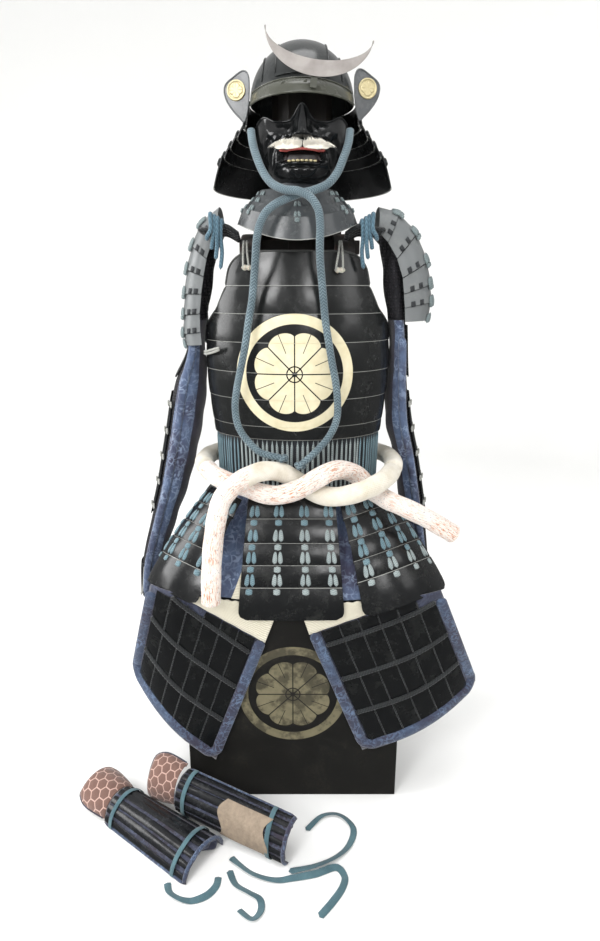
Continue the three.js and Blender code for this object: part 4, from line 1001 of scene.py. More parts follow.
# ---- sleeves ----
# Each armoured sleeve is a cloth bag with mail and lacquered splints sewn on its outer side and a rolled brocade edge
# down its front. A blue cotton cord ties it at the shoulder, and a pale cord edges the plate over the hand.
mail, tree, shader = finish_of("black_iron_mail_on_cloth")
place = add(tree, "TexCoord", {}, 3)
rings = add(tree, "TexVoronoi", {"Vector": place, "Scale": 150, "Randomness": 0.35}, feature="F1")
wire = add(tree, "Math", {0: add(tree, "Math", {0: rings, 1: 0.32}, operation="SUBTRACT")}, operation="ABSOLUTE")
wire = add(tree, "MapRange", {0: wire, 1: 0.16, 2: 0.04})
rust = add(tree, "TexNoise", {"Vector": place, "Scale": 30, "Detail": 4})
metal = add(tree, "Mix", {0: rust, 6: linear("#54555a"), 7: linear("#3a3134")}, 2, data_type="RGBA")
colour = add(tree, "Mix", {0: wire, 6: linear("#131318"), 7: metal}, 2, data_type="RGBA")
bump = add(tree, "Bump", {"Height": wire, "Distance": 0.0014, "Strength": 0.9})
shine = add(tree, "MapRange", {0: wire, 3: 0.85, 4: 0.35})
join(tree, shader, {"Base Color": colour, "Roughness": shine, "Normal": bump, "Metallic": wire})
splint_lacquer = lacquer("black_lacquer_on_splints", "#17181a", "#5f6267", gloss=0.12, dull=0.3, waves=0.8)
indigo = weave("indigo_hemp_lining", "#2a2639", "#15131c", pitch=0.002)
shoulder_tie = braid("blue_cotton_cord", "#6b8c9c", "#34505f", strand=0.003)
sleeve_rows = {
    "left": [
        (1258, -172, 20, 2, 38), (1200, -190, 22, 2, 42), (1140, -203, 24, 2, 44), (1060, -214, 18, 2, 44),
        (1022, -214, 17, 6, 44), (950, -233, 35, 20, 52), (837, -256, 39, 32, 56), (700, -290, 36, 38, 52),
        (614, -318, 31, 40, 48), (500, -352, 27, 42, 42), (400, -366, 21, 42, 34),
    ],
    "right": [
        (1258, 204, 20, 2, 38), (1200, 216, 22, 2, 42), (1140, 222, 21, 2, 44), (1060, 232, 17, 2, 44),
        (984, 236, 20, 16, 50), (900, 242, 26, 36, 50), (837, 252, 29, 52, 48), (770, 270, 28, 62, 46),
        (614, 298, 28, 60, 44), (500, 316, 25, 56, 40), (400, 328, 20, 52, 34),
    ],
}
for side, rows in sleeve_rows.items():
    hand = 1 if side == "right" else -1
    table = sorted(rows)

    def sleeve_at(angle, z, lift=0.0):
        """Angle 0 faces the front, 90 degrees the outer side of the arm and -90 the body."""
        x, w, y, d = between(table, z)
        turn = math.radians(angle)
        crease = 1.6 * math.sin(z / 13 + 2 * math.sin(turn * 2)) * max(0.0, -math.sin(turn) + 0.4)
        return Vector((
            x + hand * (w + lift + crease * 0.5) * math.sin(turn),
            y - (d + lift + crease * 0.3) * math.cos(turn), z,
        ))

    bm = new_bmesh()
    add_net(bm, 48, 90, lambda u, v: sleeve_at(360 * u, 400 + 858 * v), real=(260, 880))
    for f in bm.faces:
        u = sum(corner[bm.loops.layers.uv.active].uv.x for corner in f.loops) / 4 / 0.26
        z = f.calc_center_median().z * 1000
        if 0.1 < u < 0.5 or z > 1090:
            f.material_index = 1
        elif 0.5 <= u < 0.9:
            f.material_index = 2
    centre_line = [Vector((between(table, z)[0], between(table, z)[2], z)) / 1000 for z in range(400, 1259, 22)]
    for f in bm.faces:
        f.normal_update()
        middle = f.calc_center_median()
        nearest = min(centre_line, key=lambda p: abs(p.z - middle.z))
        if f.normal.dot(middle - nearest) < 0:
            f.normal_flip()
    sleeve = make_piece(
        f"sleeve_{side}_cloth", bm, [blue_brocade, mail, indigo], [f"sleeve_{side}"], wall=2.2,
    )

    bm = new_bmesh()
    edge_line = [sleeve_at(12, z, 2.5) for z in range(408, 1100 if side == "left" else 1060, 12)]
    add_tube(bm, edge_line, 9.5, sides=12, flat=0.8, up=(0, -1, 0))
    roll = make_piece(f"sleeve_{side}_edge", bm, [blue_brocade], rounds=1)

    bm = new_bmesh()
    for middle_angle, low, high, wide in (
        (62, 640, 905, 13), (90, 620, 925, 13), (118, 640, 905, 13), (75, 960, 1075, 17), (105, 960, 1075, 17),
        (90, 1120, 1235, 26),
    ):

        def splint(u, v):
            z = low + (high - low) * v
            taper = 1 - 0.35 * abs(2 * v - 1) ** 6
            return sleeve_at(middle_angle + (2 * u - 1) * wide * taper, z, 4 + 1.5 * math.sin(math.pi * u))

        add_net(bm, 6, 20, splint, away=Vector(sleeve_at(middle_angle, (low + high) / 2, -20)), real=(24, high - low))

    def hand_plate(u, v):
        z = 404 + 92 * v
        return sleeve_at(90 + (2 * u - 1) * 62 * math.sqrt(max(0.15, 1 - (1 - v) ** 4 * 0.8)), z, 4.5)

    add_net(bm, 18, 16, hand_plate, away=Vector(sleeve_at(90, 450, -25)), real=(80, 92))
    splints = make_piece(f"sleeve_{side}_splints", bm, [splint_lacquer], wall=2, edge=0.7)

    bm = new_bmesh()
    rim = [Vector(hand_plate(0, 1 - k / 12)) for k in range(12)] + [Vector(hand_plate(k / 16, 0)) for k in range(17)]
    rim += [Vector(hand_plate(1, k / 12)) for k in range(1, 13)]
    add_tube(bm, rim, 2.4, sides=8)
    for angle in (48, 76, 104, 132):
        for k, z in enumerate(range(650, 900, 62)):
            tuft = sleeve_at(angle, z, 5.5)
            out = (tuft - sleeve_at(angle, z, -10)).normalized()
            across = Vector((0, 0, 1)).cross(out).normalized()
            add_pad(bm, tuft, across, Vector((0, 0, -1)), out, 7, 16, 4)
    ties = make_piece(f"sleeve_{side}_cords", bm, [pale_silk])

    bm = new_bmesh()
    for k in range(4):
        start = Vector((hand * (136 + 7 * k), -92 - 4 * (k % 2), 1272 + 4 * k))
        add_tube(bm, centreline([
            start, start + Vector((hand * 2, -14, 8)), start + Vector((hand * (4 - k), -18 - 2 * k, -22)),
            start + Vector((hand * (3 + 2 * k), -12 - 2 * k, -52 + 6 * k)),
            start + Vector((hand * (8 + k), -8, -84 + 15 * k)),
        ], 6), 4.2, sides=8)
    for k in range(4):
        add_tube(bm, centreline([
            (hand * 104, -52 - 13 * k, 1244 + 3 * k), (hand * 132, -60 - 12 * k, 1258 + 4 * k),
            (hand * 158, -50 - 12 * k, 1257 + 3 * k), (hand * 190, -40 - 13 * k, 1264),
        ], 6), 5.2, sides=8, finish=1)
    shoulder = make_piece(f"sleeve_{side}_shoulder_tie", bm, [shoulder_tie, dark_lace])

# ---- shoulder guards ----
# Two curved guards of greyed lacquered lames, laced outside in blue-grey silk. Square holes for the lacing show dark
# on their inner face, two to a lame.
grey_lacquer = lacquer("greyed_lacquer_on_iron", "#66696a", "#94958e", gloss=0.3, dull=0.5, waves=0.25)
faded_silk = braid("laced_silk_faded_grey_green", "#8e9797", "#586668", strand=0.0022)
hole_black, tree, shader = finish_of("shadowed_lacing_hole")
place = add(tree, "TexCoord", {}, 3)
depth = add(tree, "TexNoise", {"Vector": place, "Scale": 300, "Detail": 3})
colour = add(tree, "Mix", {0: depth, 6: linear("#17181a"), 7: linear("#34373a")}, 2, data_type="RGBA")
join(tree, shader, {"Base Color": colour, "Roughness": 0.85})
shoulder_guards = {
    "right": (
        [(176, 1262), (196, 1242), (216, 1210), (229, 1172), (233, 1140), (236, 1112), (238, 1084)],
        [(180, 1316), (223, 1303), (262, 1264), (288, 1206), (297, 1160), (301, 1124), (294, 1086)],
    ),
    "left": (
        [(-150, 1264), (-165, 1240), (-176, 1210), (-184, 1175), (-190, 1140), (-195, 1100), (-195, 1062),
         (-193, 1036)],
        [(-152, 1316), (-193, 1282), (-213, 1238), (-226, 1190), (-233, 1140), (-237, 1096), (-240, 1056),
         (-235, 1033)],
    ),
}
for side, (inner, outer) in shoulder_guards.items():

    def guard_at(row, angle, lift=0.0):
        """row counts lames from the top, and angle goes from -90 degrees in front to 90 behind."""
        i = min(int(row), len(inner) - 2)
        root, crown = [Vector(line[i]).lerp(Vector(line[i + 1]), row - i) for line in (inner, outer)]
        reach = crown - root
        span = reach.length + lift
        reach.normalize()
        turn = math.radians(angle)
        flat = root + reach * span * max(0.0, math.cos(turn)) ** 0.8
        return Vector((flat.x, (62 + lift) * math.sin(turn), flat.y))

    bm = new_bmesh()
    tufts = new_bmesh()
    holes = new_bmesh()
    for i in range(len(inner) - 1):
        end = 1 if i == len(inner) - 2 else 0.97
        middle = guard_at(i + 0.5, 0, -40)
        add_net(
            bm, 28, 5, lambda u, v: guard_at(i + end * v, 180 * u - 90, 3 * v), away=middle, real=(150, 45),
        )
        for k in range(6):
            angle = -32 + 22 * k
            here = guard_at(i + 0.86, angle, 3.2)
            along = (guard_at(i + 0.86, angle + 3) - guard_at(i + 0.86, angle - 3)).normalized()
            down = (guard_at(i + 0.95, angle) - guard_at(i + 0.75, angle)).normalized()
            out = down.cross(along)
            if out.dot(here - middle) < 0:
                out = -out
            for hand in (-1, 1):
                add_pad(tufts, here + along * hand * 4.6, along, down, out, 9, 22, 5, hand * 0.05, 0, 1.3, 2.4)
            if i:
                add_pad(tufts, guard_at(i + 0.12, angle, 3), along, down, out, 12, 11, 6)
        if i < len(inner) - 2:
            for angle in (-79, -62):
                here = guard_at(i + 0.84, angle, -0.4)
                along = (guard_at(i + 0.84, angle + 3) - guard_at(i + 0.84, angle - 3)).normalized()
                down = (guard_at(i + 0.9, angle) - guard_at(i + 0.75, angle)).normalized()
                out = down.cross(along)
                if out.dot(Vector((0, -1, 0))) < 0:
                    out = -out
                here = guard_at(i + 0.84, angle, 3.2)
                add_net(
                    holes, 2, 2,
                    lambda u, v: here + along * 9 * (u - 0.5) + down * 11 * (v - 0.5) + out * 0.6, away=here - out * 20,
                )
    make_piece(
        f"shoulder_guard_{side}_lames", bm, [grey_lacquer], [f"shoulder_guard_{side}"], wall=2.4,
        edge=0.8,
    )
    make_piece(f"shoulder_guard_{side}_braids", tufts, [faded_silk])
    make_piece(f"shoulder_guard_{side}_holes", holes, [hole_black], wall=0.8)

# ---- helmet ----
# A plain head-shaped bowl: side plates and a broad raised plate from brow to nape, all smooth lacquered iron, with a
# downturned visor. Five lames of neck guard hang round the sides and back on dark lacing.
helmet_lacquer = lacquer("smooth_black_lacquer_on_helmet", "#2b2d2d", "#6a6c68", gloss=0.14, dull=0.26, waves=0.3)
visor_lacquer = lacquer("olive_grey_lacquer_on_visor", "#45463f", "#85857a", gloss=0.2, dull=0.34, waves=0.3)
# The last setting paints a pale line along each lame's lower edge as a painted highlight.
guard_lacquer = lacquer("black_lacquer_on_neck_guard", "#121314", "#3a3c3d", gloss=0.16, dull=0.32, painted_edge_highlight=0.001)


def bowl_at(u, v):
    turn = 2 * math.pi * u
    share = math.sin(math.pi / 2 * v)
    shrink = max(0.0, 1 - share**2.05) ** (1 / 2.05)
    return 20 + 103 * shrink * math.sin(turn), -20 - 120 * shrink * math.cos(turn), 1499 + 106 * share


bm = new_bmesh()
add_net(bm, 96, 40, bowl_at, away=(20, -20, 1500), real=(700, 160))
make_piece("helmet_bowl_plates", bm, [helmet_lacquer], ["helmet_bowl"], wall=2.5, edge=0.8)


def over_bowl(across, turn, lift):
    """A point over the bowl, across from its middle line and turned from the brow over the top to the nape."""
    a, b, c = 103 + lift, 120 + lift, 106 + lift
    low, high = 0.0, 1.2
    for _ in range(26):
        k = (low + high) / 2
        if math.hypot(across / a, k * math.cos(turn)) ** 2.05 + (k * math.sin(turn)) ** 2.05 > 1:
            high = k
        else:
            low = k
    return Vector((20 + across, -20 - low * b * math.cos(turn), 1499 + low * c * math.sin(turn)))


bm = new_bmesh()
add_net(
    bm, 20, 60, lambda u, v: over_bowl((2 * u - 1) * (50 - 16 * v), math.radians(14 + 152 * v), 3.4),
    away=(20, -20, 1500), real=(90, 330),
)
make_piece("helmet_top_band", bm, [helmet_lacquer], ["helmet_top_plate"], wall=2, edge=0.8)
bm = new_bmesh()
for hand in (-1, 1):
    for near, far in ((76, 62), (50, 34)):
        lift = 1.2 if near == 76 else 4.2
        seam = [
            over_bowl(hand * (near + (far - near) * k / 40), math.radians(16 + 148 * k / 40), lift) for k in range(41)
        ]
        add_tube(bm, seam, 1.3, sides=6)
make_piece("helmet_seams", bm, [helmet_lacquer])

visor_rows = [(1488, 107.5, 145.5, 68, 0), (1506, 106.5, 137, 68, 4), (1518, 104.6, 121.8, 66, 8)]


def visor_at(u, v, lift=0.0):
    a, b, reach, drop = between(visor_rows, 1488 + 30 * v)
    turn = math.radians((2 * u - 1) * reach)
    fall = drop * (a * math.sin(turn) / 97) ** 2
    return Vector((20 + (a + lift) * math.sin(turn), -20 - (b + lift) * math.cos(turn), 1488 + 30 * v - fall))


bm = new_bmesh()
add_net(bm, 60, 14, visor_at, away=(20, -20, 1480), real=(270, 42))
make_piece("helmet_visor_plate", bm, [visor_lacquer], ["helmet_visor"], wall=2, edge=0.6)
bm = new_bmesh()
add_tube(bm, [visor_at(k / 60, 0, 0.2) for k in range(61)], 2.2, sides=8)
add_tube(bm, [visor_at(k / 60, 0.93, 1.0) for k in range(61)], 1.5, sides=6)
for u in (0.36, 0.52):
    spot = visor_at(u, 0.62)

    def rivet(s, t):
        turn = 2 * math.pi * s
        rise = math.sin(math.pi / 2 * t)
        flat = 3.4 * math.cos(math.pi / 2 * t)
        return spot + Vector((flat * math.cos(turn), -0.85 * (2.6 * rise) , flat * math.sin(turn) + 0.5 * 2.6 * rise))

    add_net(bm, 12, 5, rivet, away=spot + Vector((0, 20, 0)), real=(20, 5))
make_piece("helmet_visor_rim", bm, [visor_lacquer])

neck_lames = [
    (1502, 1458, 108.5, 117, 121, 126, 107), (1462, 1440, 121, 133, 130, 142, 104),
    (1444, 1422, 135, 147, 144, 155, 102), (1426, 1404, 149, 160, 157, 166, 100), (1408, 1346, 164, 183, 168, 184, 98),
]
laces = new_bmesh()
for n, (top, bottom, a0, a1, b0, b1, reach) in enumerate(neck_lames):

    def neck_at(angle, v, lift=0.0):
        turn = math.radians(angle)
        flare = v + 0.06 * math.sin(math.pi * v)
        a, b = a0 + (a1 - a0) * flare + lift, b0 + (b1 - b0) * flare + lift
        return Vector((21 + a * math.sin(turn), -15 + b * math.cos(turn), top + (bottom - top) * v))

    bm = new_bmesh()
    add_net(bm, 72, 8, lambda u, v: neck_at((2 * u - 1) * reach, 1 - v), away=(21, -15, 1500), real=(500, 40))
    make_piece(
        f"neck_guard_lame_{n + 1}", bm, [guard_lacquer], [f"neck_guard_{n + 1}"], wall=3, edge=0.8,
    )
    for k in range(-9, 10):
        angle = k * (reach - 5) / 9
        v = 0.75 if n < 4 else 0.16
        here = neck_at(angle, v, 0.6)
        down = (neck_at(angle, v + 0.05) - neck_at(angle, v)).normalized()
        across = (neck_at(angle + 2, v) - neck_at(angle - 2, v)).normalized()
        out = across.cross(down)
        if out.dot(here - Vector((21, -15, 1440))) < 0:
            out = -out
        for hand in (-1, 1):
            add_pad(laces, here + across * hand * 3.8, across, down, out, 7, 17, 4.5, hand * 0.1, 0, 1.3)
make_piece("neck_guard_laces", laces, [dark_lace])

# ---- turn-backs ----
# The top lame of the neck guard turns back at each temple in an ear-shaped plate, edged with a fine rim, with a round
# gilt badge: a raised ring about a lobed rosette.
gilt, tree, shader = finish_of("pale_gilt_copper")
place = add(tree, "TexCoord", {}, 3)
rub = add(tree, "TexNoise", {"Vector": place, "Scale": 160, "Detail": 5})
colour = add(tree, "Mix", {0: rub, 6: linear("#ccc29d"), 7: linear("#b0a176")}, 2, data_type="RGBA")
bump = add(tree, "Bump", {"Height": rub, "Distance": 0.0002, "Strength": 0.4})
join(tree, shader, {"Base Color": colour, "Metallic": 0.35, "Roughness": 0.4, "Normal": bump})
steel_lacquer = lacquer("grey_lacquer_on_turn_backs", "#57595b", "#8b8b8d", gloss=0.2, dull=0.34, waves=0.2)
ear = [
    (25, -14), (26, 10), (25, 22), (20, 31), (12, 32), (-6, 22), (-20, 12), (-24, 2), (-20, -16), (-6, -36), (6, -48),
    (14, -55), (21, -38),
]
for side, hand, x, z in (("left", 1, -107, 1518), ("right", -1, 146, 1521)):
    turn = Matrix.Rotation(math.radians(hand * -10), 4, "Z")
    bm = new_bmesh()
    line = centreline([(hand * u, 0, v) for u, v in [*ear, ear[0]]], 4)[:-1]
    rim = [bm.verts.new((turn @ p + Vector((x, -57.5, z))) / 1000) for p in line]
    face = bm.faces.new(rim)
    face.normal_update()
    if face.normal.y > 0:
        face.normal_flip()
    make_piece(f"turnback_{side}_plate", bm, [steel_lacquer], [f"turnback_{side}"], wall=2.4, edge=0.9)
    bm = new_bmesh()
    add_tube(bm, [turn @ p + Vector((x, -58, z)) for p in [*line, line[0]]], 1.4, sides=8, taper=False)
    make_piece(f"turnback_{side}_rim", bm, [steel_lacquer])

    def badge(u, v):
        angle = 2 * math.pi * u
        r = 18.4 * v
        lobe = 9.2 + 3.6 * abs(math.cos(2 * angle)) ** 0.6
        height = 2.6 if 14.6 < r < 17.9 else 0.4
        if r < lobe:
            height = 2.0 - 1.2 * (abs(math.sin(4 * angle)) < 0.16) * (r > 3)
        if r > 18.2:
            height = 0.0
        return turn @ Vector((r * math.cos(angle), -height, r * math.sin(angle))) + Vector((x, -58.6, z))

    bm = new_bmesh()
    add_net(bm, 96, 24, badge, away=(x, 0, z), real=(115, 18))
    make_piece(f"turnback_{side}_badge", bm, [gilt], wall=0.8)

# ---- crest ----
# A crescent moon of thin silvered copper that slides up off a flat tongue on the visor. Its back carries the little
# sleeve that holds it.
silver, tree, shader = finish_of("dull_silvered_copper")
place = add(tree, "TexCoord", {}, 3)
brush = add(tree, "Mapping", {"Vector": place, "Scale": (50, 50, 700)})
brush = add(tree, "TexNoise", {"Vector": brush, "Scale": 1, "Detail": 3})
cloud = add(tree, "TexNoise", {"Vector": place, "Scale": 28, "Detail": 4})
tarnish = add(tree, "MapRange", {0: cloud, 1: 0.4, 2: 0.7})
colour = add(tree, "Mix", {0: tarnish, 6: linear("#9d9894"), 7: linear("#827c79")}, 2, data_type="RGBA")
bump = add(tree, "Bump", {"Height": brush, "Distance": 0.0002, "Strength": 0.3})
rough = add(tree, "MapRange", {0: brush, 3: 0.42, 4: 0.6})
join(tree, shader, {"Base Color": colour, "Metallic": 0.45, "Roughness": rough, "Normal": bump})
tilt = Matrix.Rotation(math.radians(7.3), 4, "Y")


def moon(u, v):
    x = 94.5 * math.sin(math.pi / 2 * (2 * u - 1))
    low, high = [-drop * math.sqrt(max(0.0, 1 - (x / 94.5) ** 2)) for drop in (67, 41)]
    bow = 0.5 * math.sin(math.pi * v)
    return tilt @ Vector((x, -1.2 - bow, low + (high - low) * v)) + Vector((49.75, -169, 1577))


bm = new_bmesh()
add_net(bm, 90, 8, moon, away=(49.75, 0, 1540), real=(230, 28))
make_piece("crest_moon", bm, [silver], ["crest_crescent"], wall=1.5, edge=0.35, body="crest")
bm = new_bmesh()
for low, high in (
    ((-10, 2.6, -61), (10, 7.6, -45)), ((-10, -0.2, -61), (-7, 2.8, -45)), ((7, -0.2, -61), (10, 2.8, -45)),
):
    size = Vector(high) - Vector(low)
    middle = (Vector(high) + Vector(low)) / 2
    cube = bmesh.ops.create_cube(bm, size=1, calc_uvs=True)["verts"]
    for v in cube:
        local = Vector([a * b for a, b in zip(v.co, size)]) + middle
        v.co = (tilt @ local + Vector((49.75, -169, 1577))) / 1000
make_piece("crest_sleeve", bm, [silver], edge=0.3, body="crest")
dress("crest_socket", visor_lacquer)

# ---- face mask ----
# A war mask of black lacquered iron that covers the face below the eyes: hooked nose, furrowed cheeks, bared gold
# teeth in an open mouth with a red lip, a square chin, and a moustache of white hair.
mask_lacquer = lacquer("mirror_black_lacquer_on_mask", "#0e0f10", "#3d3f40", gloss=0.08, dull=0.18, waves=0.35)
# Inside the mouth the red lacquer is painted almost black: painted shade in the mouth's recess.
mouth_red_in_painted_shade, tree, shader = finish_of("red_lacquer_painted_dark_as_shade_in_mouth")
place = add(tree, "TexCoord", {}, 3)
deep = add(tree, "TexNoise", {"Vector": place, "Scale": 90, "Detail": 3})
colour = add(tree, "Mix", {0: deep, 6: linear("#0e0606"), 7: linear("#220c0a")}, 2, data_type="RGBA")
join(tree, shader, {"Base Color": colour, "Roughness": 0.4})
mask_rows = [
    (1342, 36, 76), (1352, 52, 84), (1366, 64, 87), (1378, 73, 87), (1396, 81, 87), (1412, 86, 88), (1428, 89, 86),
    (1446, 89, 80),
]


def bump_at(x, z, cx, cz, rx, rz, power=2.0):
    return math.exp(-(abs((x - cx) / rx) ** power + abs((z - cz) / rz) ** power))


def face_relief(x, z):
    """How far the mask stands out from its plain shell at x from its middle line and height z."""
    side = abs(x)
    nose_wide = 8.5 + 7 * max(0.0, min(1.0, (1452 - z) / 32))
    along = max(0.0, min(1.0, (z - 1411) / 8)) * max(0.0, 1 - max(0.0, z - 1421) / 62)
    out = 27 * along * math.exp(-abs(x / nose_wide) ** 2.2)
    out += 9 * bump_at(side, z, 14, 1419, 8, 7)
    out -= 4 * bump_at(side, z, 7, 1411, 5, 3.5)
    out += 9 * bump_at(side, z, 50, 1426, 24, 15)
    fold = side - 26 - 0.42 * (1420 - z)
    out += 5.5 * math.exp(-((fold - 4) / 5.5) ** 2) * bump_at(0, z, 0, 1396, 1, 34, 4)
    out -= 4.5 * math.exp(-((fold + 5) / 4.5) ** 2) * bump_at(0, z, 0, 1400, 1, 22, 4)
    wrinkle = 1.7 * math.sin((math.hypot(side - 20, (z - 1388) * 1.2) - 40) / 2.5)
    out += wrinkle * bump_at(side, z, 58, 1398, 20, 26, 4)
    out += 3 * bump_at(x, z, 0, 1403, 44, 5, 4)
    mouth = bump_at(x, z, 0, 1388, 41, 9.5, 6)
    out -= 15 * mouth
    out += 4.5 * bump_at(x, z, 0, 1375, 40, 4.5, 4)
    out += 9 * bump_at(x, z, 0, 1356, 31, 13, 6)
    out -= 3 * bump_at(x, z, 0, 1370, 26, 2.5, 2)
    return out


def mask_at(u, v, lift=0.0):
    z = 1342 + 104 * v
    a, b = between(mask_rows, z)
    turn = math.radians((2 * u - 1) * 88)
    x = a * math.sin(turn)
    out = face_relief(x, z) + lift
    peaks = 26 * math.exp(-((x / 14) ** 2)) + 13 * math.exp(-(((abs(x) - 72) / 16) ** 2))
    brow = peaks * max(0, (v - 0.72) / 0.28) ** 1.5
    return Vector((20 + (a + out * 0.4) * math.sin(turn), -60 - (b + out) * math.cos(turn), z + brow))


bm = new_bmesh()
add_net(bm, 150, 110, mask_at, away=(20, -50, 1400), real=(280, 104))
# The faces deepest in the mouth take that darkened red as painted shade.
for f in bm.faces:
    middle = f.calc_center_median() * 1000
    if bump_at(middle.x - 20, middle.z, 0, 1388, 41, 9.5, 6) > 0.72:
        f.material_index = 1
make_piece("mask_shell", bm, [mask_lacquer, mouth_red_in_painted_shade], ["mask_face"], wall=2.5)
bm = new_bmesh()
add_tube(bm, [mask_at(k / 60, 1, 0.4) for k in range(61)], 2.0, sides=8)
make_piece("mask_brow_rim", bm, [mask_lacquer])
lip_red, tree, shader = finish_of("matt_red_lacquer_lip")
place = add(tree, "TexCoord", {}, 3)
chip = add(tree, "TexNoise", {"Vector": place, "Scale": 120, "Detail": 4})
colour = add(tree, "Mix", {0: chip, 6: linear("#b3564e"), 7: linear("#8a3b36")}, 2, data_type="RGBA")
join(tree, shader, {"Base Color": colour, "Roughness": 0.5})
bm = new_bmesh()


def on_face(x, z, lift):
    """The point of the mask's skin in front of x from its middle and height z, lifted off it."""
    a, b = between(mask_rows, z)
    turn = math.asin(max(-1, min(1, x / a)))
    out = face_relief(x, z) + lift
    return Vector((20 + x, -60 - (b + out) * math.cos(turn), z))


lip_line = [on_face(-43 + 86 * k / 30, 1398.5 + 0.8 * math.cos(math.pi * (k / 15 - 1)), 1.5) for k in range(31)]
add_tube(bm, lip_line, 3.1, sides=10, flat=0.8)
make_piece("mask_lip", bm, [lip_red])
bm = new_bmesh()
for x in range(-24, 25, 8):
    root = on_face(x, 1375.5, 0)
    root.z = 1379.5

    def tooth(u, v):
        turn = 2 * math.pi * u
        swell = math.sin(math.pi * v) ** 0.4
        return root + Vector((3.7 * swell * math.cos(turn), 2 + 2.2 * swell * math.sin(turn), 4.4 * (v - 0.5)))

    add_net(bm, 8, 6, tooth, real=(20, 6))
make_piece("mask_teeth", bm, [gilt])
hair, tree, shader = finish_of("white_animal_hair")
place = add(tree, "TexCoord", {}, 3)
shade_of = add(tree, "TexNoise", {"Vector": place, "Scale": 220, "Detail": 3})
colour = add(tree, "Mix", {0: shade_of, 6: linear("#fbf8f1"), 7: linear("#e9dfc9")}, 2, data_type="RGBA")
join(tree, shader, {"Base Color": colour, "Roughness": 0.6, "Sheen Weight": 0.4})
bm = new_bmesh()
chance = random.Random(5)


def lip_hair(x, z, lift):
    spot = on_face(x, z, 0)
    return Vector((spot.x, min(spot.y, -60 - 90 * math.cos(math.asin(min(0.9, abs(x) / 91)))) - lift, z))


for hand in (-1, 1):

    def tuft(u, v):
        turn = 2 * math.pi * u
        x = hand * (1 + 51 * v)
        swell = 8.5 * math.sin(math.pi * min(1, 0.08 + 0.94 * v)) ** 0.45 if 0 < v < 1 else 0
        middle = lip_hair(x, 1406.5 - 6 * (v - 0.35) ** 2, 3.0)
        return middle + Vector((0, -3.6 * swell / 8.5 * math.cos(turn), swell * math.sin(turn)))

    add_net(bm, 12, 16, tuft, real=(40, 45))
for k in range(900):
    x = chance.uniform(-53, 53)
    out = abs(x) / 53
    top = 1408 + 9 * math.sin(math.pi * min(1, 0.12 + 0.85 * out)) ** 0.6 * chance.uniform(0.1, 1.0)
    root = lip_hair(x, top, chance.uniform(2.5, 7.2))
    lean = math.copysign(0.25 + 0.75 * out, x) * chance.uniform(0.5, 1.2)
    long = chance.uniform(7, 12)
    tip = root + Vector((lean * long, -chance.uniform(-0.5, 1.5), -long * (1.05 - 0.4 * out)))

    def strand(u, v):
        turn = 2 * math.pi * u
        thin = 0.55 * (1 - v) if v else 0.0
        middle = root.lerp(tip, v) + Vector((0, -0.8 * math.sin(math.pi * v), 0))
        return middle + Vector((thin * math.cos(turn), 0, thin * math.sin(turn)))

    add_net(bm, 3, 3, strand, real=(3, 12))
make_piece("mask_moustache_hair", bm, [hair], ["mask_moustache"])

# ---- throat guard ----
# Four curved lames hang below the mask's chin, greyed black lacquer on iron, joined by sparse pairs of pale lacing.
# A strip of dark cloth joins the first lame to the mask.
# The last setting paints a pale line along each lame's lower edge as a painted highlight.
throat_lacquer = lacquer("greyed_black_lacquer_on_throat", "#3d4042", "#8b8c8a", gloss=0.18, dull=0.32, painted_edge_highlight=0.0011)
throat_lames = [
    (1332, 1315, 74, 80, 66, 74, 84, 6, 12), (1317, 1298, 83, 92, 77, 84, 85, 12, 18),
    (1300, 1279, 95, 106, 87, 93, 86, 18, 24), (1281, 1239, 109, 121, 96, 101, 87, 24, 36),
]
tufts = new_bmesh()
for n, (top, bottom, a0, a1, b0, b1, reach, rise0, rise1) in enumerate(throat_lames):

    def throat_at(angle, v, lift=0.0):
        turn = math.radians(angle)
        a, b = a0 + (a1 - a0) * v + lift, b0 + (b1 - b0) * v + lift
        rise = (rise0 + (rise1 - rise0) * v) * math.sin(turn) ** 2
        return Vector((11 + a * math.sin(turn), -70 - b * math.cos(turn), top + (bottom - top) * v + rise))

    bm = new_bmesh()
    add_net(bm, 60, 8, lambda u, v: throat_at((2 * u - 1) * reach, 1 - v), away=(11, -60, 1300), real=(330, 30))
    make_piece(
        f"throat_guard_lame_{n + 1}", bm, [throat_lacquer], [f"throat_lame_{n + 1}"], wall=2.4,
        edge=0.7,
    )
    for angle in (-80, -58, 0, 58, 80):
        v = 0.72 if n < 3 else 0.14
        here = throat_at(angle, v, 0.4)
        down = (throat_at(angle, v + 0.05) - throat_at(angle, v - 0.05)).normalized()
        across = (throat_at(angle + 2, v) - throat_at(angle - 2, v)).normalized()
        out = across.cross(down)
        if out.dot(here - Vector((11, -60, 1300))) < 0:
            out = -out
        if n < 3:
            for hand in (-1, 1):
                add_pad(tufts, here + across * hand * 3.4, across, down, out, 6, 13, 3.4, hand * 0.12, 0, 1.2)
        else:
            add_pad(tufts, here, across, down, out, 10, 10, 3.4)
make_piece("throat_guard_laces", tufts, [faded_silk])


def hanger(u, v):
    """The dark cloth that joins the first lame to the mask's chin."""
    turn = math.radians(170 * u - 85)
    a, b = 38 + 34 * v, 72 - 8 * v
    return 18 - 7 * v + a * math.sin(turn), -62 - 8 * v - b * math.cos(turn), 1350 - 26 * v


bm = new_bmesh()
add_net(bm, 40, 6, hanger, away=(11, -60, 1330), real=(150, 30))
make_piece("throat_guard_hanger", bm, [lining], wall=1.6)

